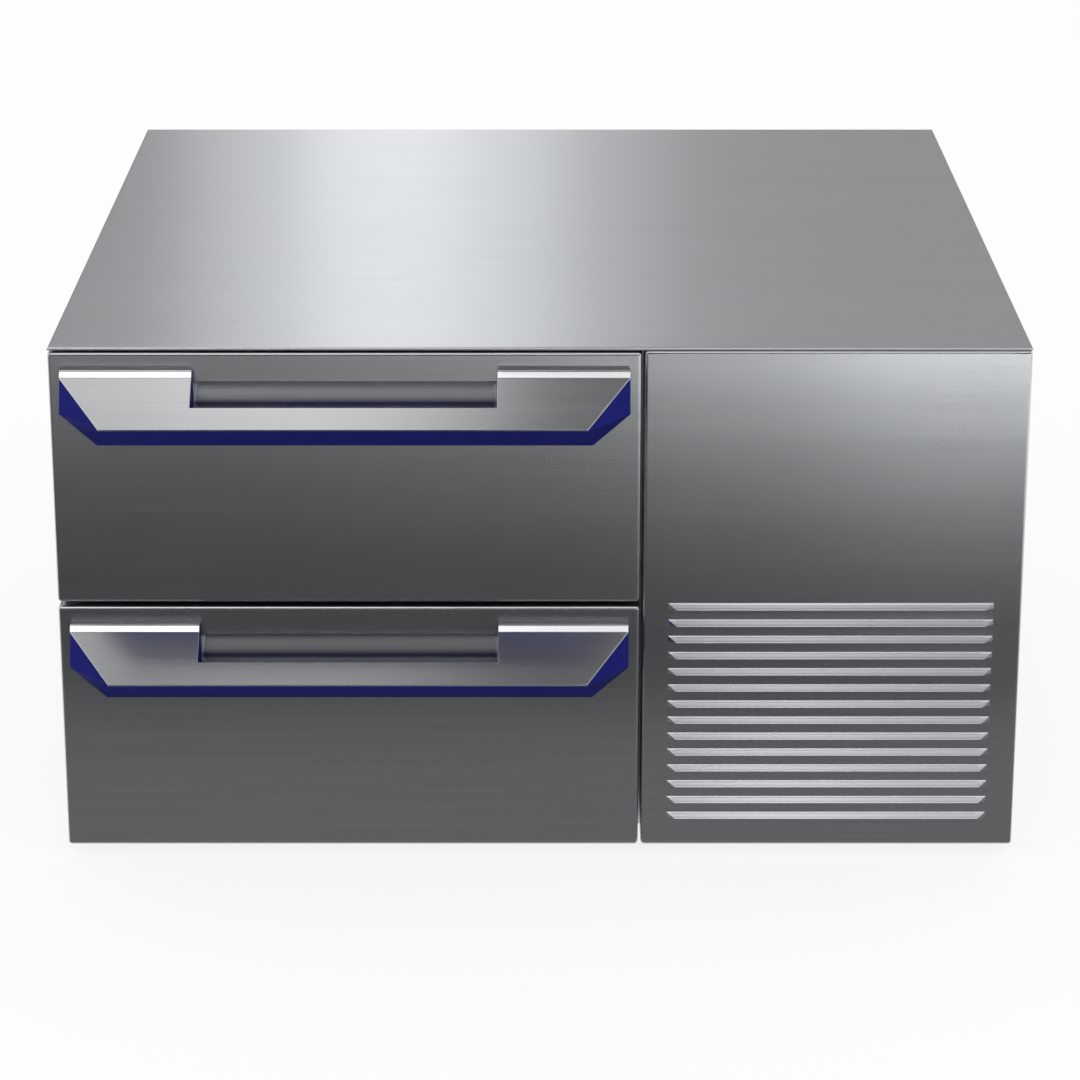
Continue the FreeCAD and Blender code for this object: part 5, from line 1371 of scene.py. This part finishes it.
class BuildCondenser(bpy.types.Operator):
    """Build the finned condenser with its round return bends, the fan wheel and its motor's studs"""

    bl_idname = "refrigerator.build_condenser"
    bl_label = "Condenser"

    coil_xs = (100.0, 384.0, 104.0)
    coil_ys = (-312.0, -292.0)
    top_z = 227.0
    gap = 35.6
    tubes = 6
    fan = (BAY_MID_X, -252.0, 140.0)
    fan_r = 84.0
    hub_r = 24.0
    hub = [(5.0, 1.2), (16.0, 0.4), (22.0, 1.6), (24.0, 4.6), (24.0, 26.0), (21.0, 26.0), (21.0, 24.0),
           (4.0, 24.0), (4.0, 44.0), (0.3, 44.4)]
    fin_xs = (110.5, 369.5)
    fin_half = 0.12
    end_plates = (106.0, 372.0)
    end_t = 2.0
    depth = (-322.0, -282.0)
    motor_y = -166.0

    def execute(self, context):
        sizes = context.scene.refrigerator_sizes
        coil = Shape()
        left, right, port_x = self.coil_xs
        near, far = self.coil_ys
        levels = [self.top_z - k * self.gap for k in range(self.tubes)]
        route = to_and_fro((left, right), near, levels)
        route[0] = (port_x, near, levels[0])
        route += [(x, far, z) for x, y, z in reversed(route)]
        coil.tube(bent_path(route, 10.0), 4.0, 12)
        for x in even(*self.fin_xs, sizes.condenser_fins - 1):
            coil.block((x - self.fin_half, x + self.fin_half), self.depth, (34.0, 246.0))
        for x in self.end_plates:
            coil.block((x, x + self.end_t), self.depth, (13.2, 252.0))
        add_piece("condenser_coil_finned", coil, "fin_aluminium", "cabinet", stands_for=["condenser_coil"])
        wheel = blades(self.fan, self.hub_r, self.fan_r, 26.0, sizes.fan_blades, 1.0, 1.1)
        wheel.turned(self.hub, self.fan, "Y", 48)
        add_piece("condenser_fan_wheel_curved", wheel, "black_plastic", "condenser_fan",
                  stands_for=["condenser_fan_blade"])
        motor = Shape()
        axis = (BAY_MID_X, self.motor_y, self.fan[2])
        for k in range(16):
            angle = math.tau * k / 16
            motor.tube([spun("Y", axis, 27.0, 0.0, angle), spun("Y", axis, 27.0, 9.0, angle)], 1.6, 8)
        for k in range(4):
            dome(motor, spun("Y", axis, 31.0, 8.0, math.tau * (k + 0.5) / 4), "Y", 2.6, 2.4)
        add_piece("condenser_motor_studs", motor, "feet_steel", "cabinet")
        return {"FINISHED"}


class BuildCompressor(bpy.types.Operator):
    """Build the compressor shell, its mounts, relay cover and bail, the filter-drier and brazed joints"""

    bl_idname = "refrigerator.build_compressor"
    bl_label = "Compressor"

    at = (BAY_MID_X, 20.0, 0.0)
    radius = 74.0
    plate_half = (95, 66)
    plate_zs = (27.2, 30.2)
    high = 205.0
    feet = [(dx, dy) for dx in (-80.0, 80.0) for dy in (-52.0, 52.0)]
    nut_r = 5.8
    nut = ((0.9, 35.2), (1.0, 35.6), (1.0, 39.4), (0.9, 39.8))
    grommet = [(10.0, 13.2), (11.0, 14.2), (11.0, 17.0), (9.4, 18.4), (9.4, 20.0), (11.0, 21.4), (11.0, 26.2),
               (10.2, 27.1), (5.0, 27.2), (5.0, 30.2), (8.2, 30.3), (9.0, 31.2), (9.0, 33.4), (8.0, 34.2),
               (3.0, 34.2)]
    stud = [(6.5, 34.2), (6.5, 35.2), (2.9, 35.25), (2.9, 43.0), (2.3, 43.6), (0.2, 43.6)]
    stubs = ((-10.0, 100.0, 4.0), (40.0, 150.0, 6.0))
    stub_x = 150.0
    cover_ys = (-12.0, 52.0)
    cover_zs = (60.0, 110.0)
    cover_ribs = (72.0, 80.0, 88.0, 96.0)
    bail_z = 85.0
    drier_at = (120.0, 0.0, 275.0)
    drier = [(3.2, -200.0), (4.0, -199.0), (4.4, -196.0), (9.0, -189.0), (11.0, -184.0), (11.0, -176.0),
             (10.4, -174.8), (11.0, -173.6), (11.0, -127.0), (10.4, -125.8), (11.0, -124.6), (11.0, -116.0),
             (9.0, -111.0), (4.4, -104.0), (3.0, -101.0), (2.0, -100.0)]
    joints = (((104.0, -312.0, 227.0), "X", 4.6), ((104.0, -292.0, 227.0), "X", 4.6),
              ((150.0, -10.0, 100.0), "X", 4.9), ((120.0, -200.0, 275.0), "Y", 4.6))

    def shell(self):
        """Two deep-drawn halves with a weld flange and pipe stubs, on a foot plate."""
        r = self.radius
        low = self.plate_zs[1]
        middle = (self.plate_zs[0] + self.high) / 2 + 3.0
        turns = [(r * 0.55, low)]
        for k in range(7):
            angle = math.radians(90 * k / 6)
            turns.append((r - 16 + 16 * math.sin(angle), low + 16 - 16 * math.cos(angle)))
        turns += [(r, middle - 12), (r + 1.0, middle - 6), (r + 3.6, middle - 3), (r + 4.0, middle),
                  (r + 3.4, middle + 2.4), (r + 0.4, middle + 4), (r - 0.8, middle + 10)]
        for k in range(9):
            angle = math.radians(90 * k / 8)
            turns.append(((r - 34) + 33 * math.cos(angle), self.high - 34 + 32 * math.sin(angle)))
        turns += [(r * 0.3, self.high - 1.0), (r * 0.05, self.high)]
        shell = Shape().turned(turns, self.at, "Z", 72)
        wall = BAY_MID_X - self.stub_x - r
        for y, z, radius in self.stubs:
            shell.turned([(radius + 3.5, wall + 6), (radius + 1.6, wall - 1.0), (radius, wall - 3.5),
                          (radius, 0.0)], (self.stub_x, y, z), "X", 24)
        half_x, half_y = self.plate_half
        outline = rounded_loop((self.at[0] - half_x, self.at[0] + half_x),
                               (self.at[1] - half_y, self.at[1] + half_y), 12.0)
        return shell.plate(outline, lambda u, v, level: (u, v, level), *self.plate_zs)

    def execute(self, context):
        add_piece("compressor_shell_welded", self.shell(), "compressor_black", "cabinet",
                  stands_for=["compressor"])
        mounts = Shape()
        studs = Shape()
        for dx, dy in self.feet:
            x, y = self.at[0] + dx, self.at[1] + dy
            mounts.turned(self.grommet, (x, y, 0.0), "Z", 28)
            studs.turned(self.stud, (x, y, 0.0), "Z", 20)
            hexagon(studs, (x, y, 0.0), self.nut_r, self.nut)
        add_piece("compressor_grommets_ribbed", mounts, "black_rubber", "cabinet",
                  stands_for=["compressor_grommets"])
        add_piece("compressor_studs", studs, "feet_steel", "cabinet")
        cover = Shape()
        x0, x1 = self.at[0] + self.radius + 4, self.at[0] + self.radius + 34
        loops = []
        for x, grow in ((x0 - 14.0, -6.0), (x0, -6.0), (x0, 0.0), (x1 - 6.0, 0.0), (x1 - 1.6, -1.4),
                        (x1, -4.5)):
            outline = rounded_loop((self.cover_ys[0] - grow, self.cover_ys[1] + grow),
                                   (self.cover_zs[0] - grow, self.cover_zs[1] + grow), 6.0)
            loops.append([(x, u, v) for u, v in outline])
        cover.loft(loops)
        for z in self.cover_ribs:
            cover.block((x1 - 0.4, x1 + 0.9), (0.0, 40.0), (z, z + 2.4))
        add_piece("compressor_relay_cover_moulded", cover, "black_plastic", "cabinet",
                  stands_for=["compressor_relay_cover"], bevel=0.4)
        z = self.bail_z
        wire = [(x0 - 2, 54.0, z), (x1 + 1.6, 54.0, z), (x1 + 1.6, -14.0, z), (x0 - 2, -14.0, z)]
        bail = Shape().tube(bent_path(wire, 4.0), 1.1, 8)
        add_piece("compressor_cover_bail", bail, "feet_steel", "cabinet")
        drier = Shape().turned(self.drier, self.drier_at, "Y", 32)
        add_piece("filter_drier_spun", drier, "copper", "cabinet", stands_for=["filter_drier"])
        joints = Shape()
        for centre, axis, radius in self.joints:
            bead = [(radius - 1.2, -3.0), (radius, -1.6), (radius, 1.6), (radius - 1.2, 3.0)]
            joints.turned(bead, centre, axis, 20)
        add_piece("brazed_joints", joints, "brass_pin", "cabinet")
        return {"FINISHED"}


class BuildControls(bpy.types.Operator):
    """Populate the controller board and fit the control box's lid, screws and knockouts"""

    bl_idname = "refrigerator.build_controls"
    bl_label = "Controls"

    board_xs = (170.0, 330.0)
    board_ys = (-260.0, -130.0)
    floor_z = 316.2
    board_z = (322.2, 324.2)
    posts = [(x, y) for x in (177.0, 323.0) for y in (-253.0, -137.0)]
    relays = [(185.0 + 38.0 * k, 28.0) for k in range(3)]
    terminals = [(262.0 + 7.2 * k, 6.8) for k in range(8)]
    capacitors = ((268.0, 7.0), (286.0, 7.0), (304.0, 5.0))
    capacitor_y = -215.0
    knockouts = 4

    def execute(self, context):
        base, top = self.board_z
        board = Shape()
        loop = rounded_loop(self.board_xs, self.board_ys, 3.0)
        board.plate(loop, lambda u, v, level: (u, v, level), base, top)
        for x, y in self.posts:
            board.turned([(3.0, 0.0), (3.0, 6.0)], (x, y, self.floor_z), "Z", 12)
        add_piece("controller_board", board, "circuit_green", "cabinet", stands_for=["controller"],
                  bevel=0.2)
        blocks = Shape()
        for x, wide in self.relays:
            blocks.block((x, x + wide), (-175.0, -145.0), (top, top + 22.0))
        for x, wide in self.terminals:
            blocks.block((x, x + wide), (-255.0, -243.0), (top, top + 12.0))
        add_piece("controller_relays", blocks, "black_plastic", "cabinet", bevel=0.7)
        core = Shape()
        core.block((192.0, 248.0), (-243.0, -202.0), (top, top + 30.0))
        core.block((202.0, 238.0), (-248.0, -197.0), (top + 4.0, top + 26.0))
        for x, r in self.capacitors:
            can = [(r - 0.4, 0.0), (r, 0.5), (r, 2.0), (r - 0.5, 2.6), (r, 3.2), (r, 20.0), (r - 0.8, 21.0),
                   (0.3, 20.6)]
            core.turned(can, (x, self.capacitor_y, top), "Z", 20)
        add_piece("controller_parts", core, "slide_zinc", "cabinet", bevel=0.3)
        low, high = limits("control_box")
        fittings = Shape()
        for x in (low[0] + 10.0, high[0] - 10.0):
            for z in (low[2] + 10.0, high[2] - 12.0):
                dome(fittings, (x, low[1], z), "Y", 3.4, -1.8)
        for k in range(self.knockouts):
            x = low[0] + 50.0 + k * (high[0] - low[0] - 100.0) / (self.knockouts - 1)
            fittings.turned([(10.5, 0.02), (10.4, -0.5), (9.4, -0.9), (8.8, -0.9), (8.4, -0.5),
                             (0.2, -0.45)], (x, low[1], low[2] + 30.0), "Y", 32)
        lid = rounded_loop((low[0] + 24.0, high[0] - 24.0), (low[2] + 60.0, high[2] - 22.0), 6.0)
        fittings.plate(lid, lambda u, v, level: (u, level, v), low[1] - 1.2, low[1] + 0.02)
        add_piece("control_box_fittings", fittings, "galvanised", "cabinet", bevel=0.3)
        return {"FINISHED"}


class SetStudio(bpy.types.Operator):
    """Lay the pale floor, hang the soft lights and stand the camera where the photograph was taken"""

    bl_idname = "refrigerator.set_studio"
    bl_label = "Studio"

    camera_at = (0.0, -3.26681, 1.26745)
    camera_tilt = 71.2
    lens = 123.19
    sensor = 36.0
    air = 0.93
    lamps = (
        ("front_softbox", (0.1, -2.2, 2.3), (0.1, -0.3, 0.3), (2.6, 1.2), 1.15),
        ("rear_strip", (-0.33, 3.6, 1.9), (-0.1, 0.0, 0.4), (0.75, 2.0), 0.6),
    )
    card_rise = 0.002
    ceiling_z = 3.0
    floor_cards = (
        ("near_flag", (-2.5, 1.12), (-0.75, -0.387), 0.18),
        ("dark_flag_left", (-2.5, -0.05), (-2.0, -0.75), 0.055),
        ("dark_flag", (-0.05, 1.05), (-2.0, -0.75), 0.035),
        ("far_card_left", (-2.5, -0.3), (-3.0, -2.0), 0.65),
        ("far_card_middle", (-0.3, 0.05), (-3.0, -2.0), 1.0),
        ("far_card_right", (0.05, 0.4), (-3.0, -2.0), 1.9),
        ("far_card_bright", (0.4, 2.5), (-3.0, -2.0), 3.8),
    )
    ceiling_cards = (
        ("overhead_left", (-3.0, -0.55), (-0.7, 1.5), 0.93),
        ("overhead_bright", (-0.55, -0.2), (-0.7, 1.5), 1.26),
        ("overhead_middle", (-0.2, -0.05), (-0.7, 1.5), 0.86),
        ("overhead_flag", (-0.05, 3.0), (-0.7, 1.5), 0.16),
        ("overhead_front_flag", (-3.0, -0.15), (-2.0, -0.7), 0.18),
        ("overhead_dark_flag", (-0.15, 0.19), (-2.0, -0.7), 0.0),
        ("louvre_card", (0.19, 0.5), (-2.0, -1.15), 2.1),
        ("louvre_card_dim", (0.5, 3.0), (-2.0, -1.15), 1.05),
        ("louvre_flag", (0.19, 3.0), (-1.15, -0.7), 0.0),
        ("front_ceiling_flag", (-0.1, 3.0), (-3.5, -2.0), 0.0),
    )
    front_y, front_top = -3.6, 2.4
    front_cards = (("front_flag", (-4.0, 4.0), 0.0),)
    rear_y, rear_top = 3.8, 3.4
    rear_cards = (
        ("rear_flag", (-4.0, -0.66), 0.2),
        ("rear_card_left", (-0.66, -0.46), 0.45),
        ("rear_card_bright", (-0.46, -0.16), 1.2),
        ("rear_card", (-0.16, 0.04), 0.84),
        ("rear_card_dim", (0.04, 0.25), 0.58),
        ("rear_card_right", (0.25, 4.0), 0.34),
    )

    def lamp(self, name, place, aim, size, strength):
        """A rectangular soft light that points at a spot; strength is its brightness as seen."""
        data = bpy.data.lights.new(name, "AREA")
        data.shape = "RECTANGLE"
        data.size, data.size_y = size
        data.energy = strength * size[0] * size[1] * math.pi
        light = bpy.data.objects.new(name, data)
        light.location = place
        light.rotation_euler = (Vector(aim) - Vector(place)).to_track_quat("-Z", "Y").to_euler()
        light.visible_camera = False
        bpy.context.scene.collection.objects.link(light)

    def card(self, name, corners, tone):
        """A sheet of card that only shows in reflections."""
        mesh = bpy.data.meshes.new(name)
        mesh.from_pydata(corners, [], [tuple(range(len(corners)))])
        material = bpy.data.materials.new(name)
        material.use_nodes = True
        tree = material.node_tree
        shader = tree.nodes["Principled BSDF"]
        shader.inputs["Base Color"].default_value = (0.0, 0.0, 0.0, 1.0)
        shader.inputs["Specular IOR Level"].default_value = 0.0
        shader.inputs["Emission Color"].default_value = (tone, tone, tone, 1.0)
        shader.inputs["Emission Strength"].default_value = 1.0
        mesh.materials.append(material)
        card = bpy.data.objects.new(name, mesh)
        bpy.context.scene.collection.objects.link(card)
        card.visible_camera = False
        card.visible_diffuse = False
        card.visible_shadow = False

    def execute(self, context):
        scene = context.scene
        sizes = scene.refrigerator_sizes
        half = sizes.floor_size * MM / 2
        steps = 8
        line = [half * (2 * k / steps - 1) for k in range(steps + 1)]
        mesh = bpy.data.meshes.new("studio_floor")
        faces = []
        for row in range(steps):
            for column in range(steps):
                first = row * (steps + 1) + column
                faces.append((first, first + 1, first + steps + 2, first + steps + 1))
        mesh.from_pydata([(x, y, 0.0) for y in line for x in line], [], faces)
        mesh.materials.append(FINISHES["studio_floor"])
        floor = bpy.data.objects.new("studio_floor", mesh)
        scene.collection.objects.link(floor)

        world = bpy.data.worlds.new("studio_air")
        scene.world = world
        world.use_nodes = True
        sky = world.node_tree.nodes["Background"]
        sky.inputs["Color"].default_value = (1.0, 1.0, 1.0, 1.0)
        sky.inputs["Strength"].default_value = self.air

        for row in self.lamps:
            self.lamp(*row)
        for z, cards in ((self.card_rise, self.floor_cards), (self.ceiling_z, self.ceiling_cards)):
            for name, (x0, x1), (y0, y1), tone in cards:
                self.card(name, [(x0, y0, z), (x1, y0, z), (x1, y1, z), (x0, y1, z)], tone)
        for y, top, cards in ((self.front_y, self.front_top, self.front_cards),
                              (self.rear_y, self.rear_top, self.rear_cards)):
            for name, (x0, x1), tone in cards:
                self.card(name, [(x0, y, 0.0), (x1, y, 0.0), (x1, y, top), (x0, y, top)], tone)

        data = bpy.data.cameras.new("camera")
        data.lens = self.lens
        data.sensor_width = self.sensor
        camera = bpy.data.objects.new("camera", data)
        camera.location = self.camera_at
        camera.rotation_euler = (math.radians(self.camera_tilt), 0.0, 0.0)
        scene.collection.objects.link(camera)
        scene.camera = camera
        scene.view_settings.view_transform = "Standard"
        return {"FINISHED"}


class RefrigeratorPanel(bpy.types.Panel):
    """Sidebar list of the build steps, sizes and colours"""

    bl_idname = "VIEW3D_PT_refrigerator"
    bl_label = "Refrigerator"
    bl_space_type = "VIEW_3D"
    bl_region_type = "UI"
    bl_category = "Refrigerator"

    def draw(self, context):
        for step in STEPS:
            self.layout.operator(step.bl_idname)
        for group in (context.scene.refrigerator_sizes, context.scene.refrigerator_colours):
            for key in group.__annotations__:
                self.layout.prop(group, key)


STEPS = (FinishCabinet, BuildHandlePlates, BuildHandleMouldings, BuildFingerScoops, BuildServicePanel,
         BuildGaskets, BuildTubs, BuildSlides, BuildFeet, BuildRear, BuildColdSide, BuildCondenser,
         BuildCompressor, BuildControls, SetStudio)
CLASSES = (RefrigeratorSizes, RefrigeratorColours, *STEPS, RefrigeratorPanel)


def register():
    """Make the classes and their settings known to Blender."""
    for item in CLASSES:
        bpy.utils.register_class(item)
    bpy.types.Scene.refrigerator_sizes = bpy.props.PointerProperty(type=RefrigeratorSizes)
    bpy.types.Scene.refrigerator_colours = bpy.props.PointerProperty(type=RefrigeratorColours)


def unregister():
    """Take the classes and settings away again."""
    del bpy.types.Scene.refrigerator_colours
    del bpy.types.Scene.refrigerator_sizes
    for item in reversed(CLASSES):
        bpy.utils.unregister_class(item)


def main():
    """Build every piece and the studio."""
    register()
    for step in STEPS:
        area, action = step.bl_idname.split(".")
        getattr(getattr(bpy.ops, area), action)()


if __name__ == "__main__":
    main()
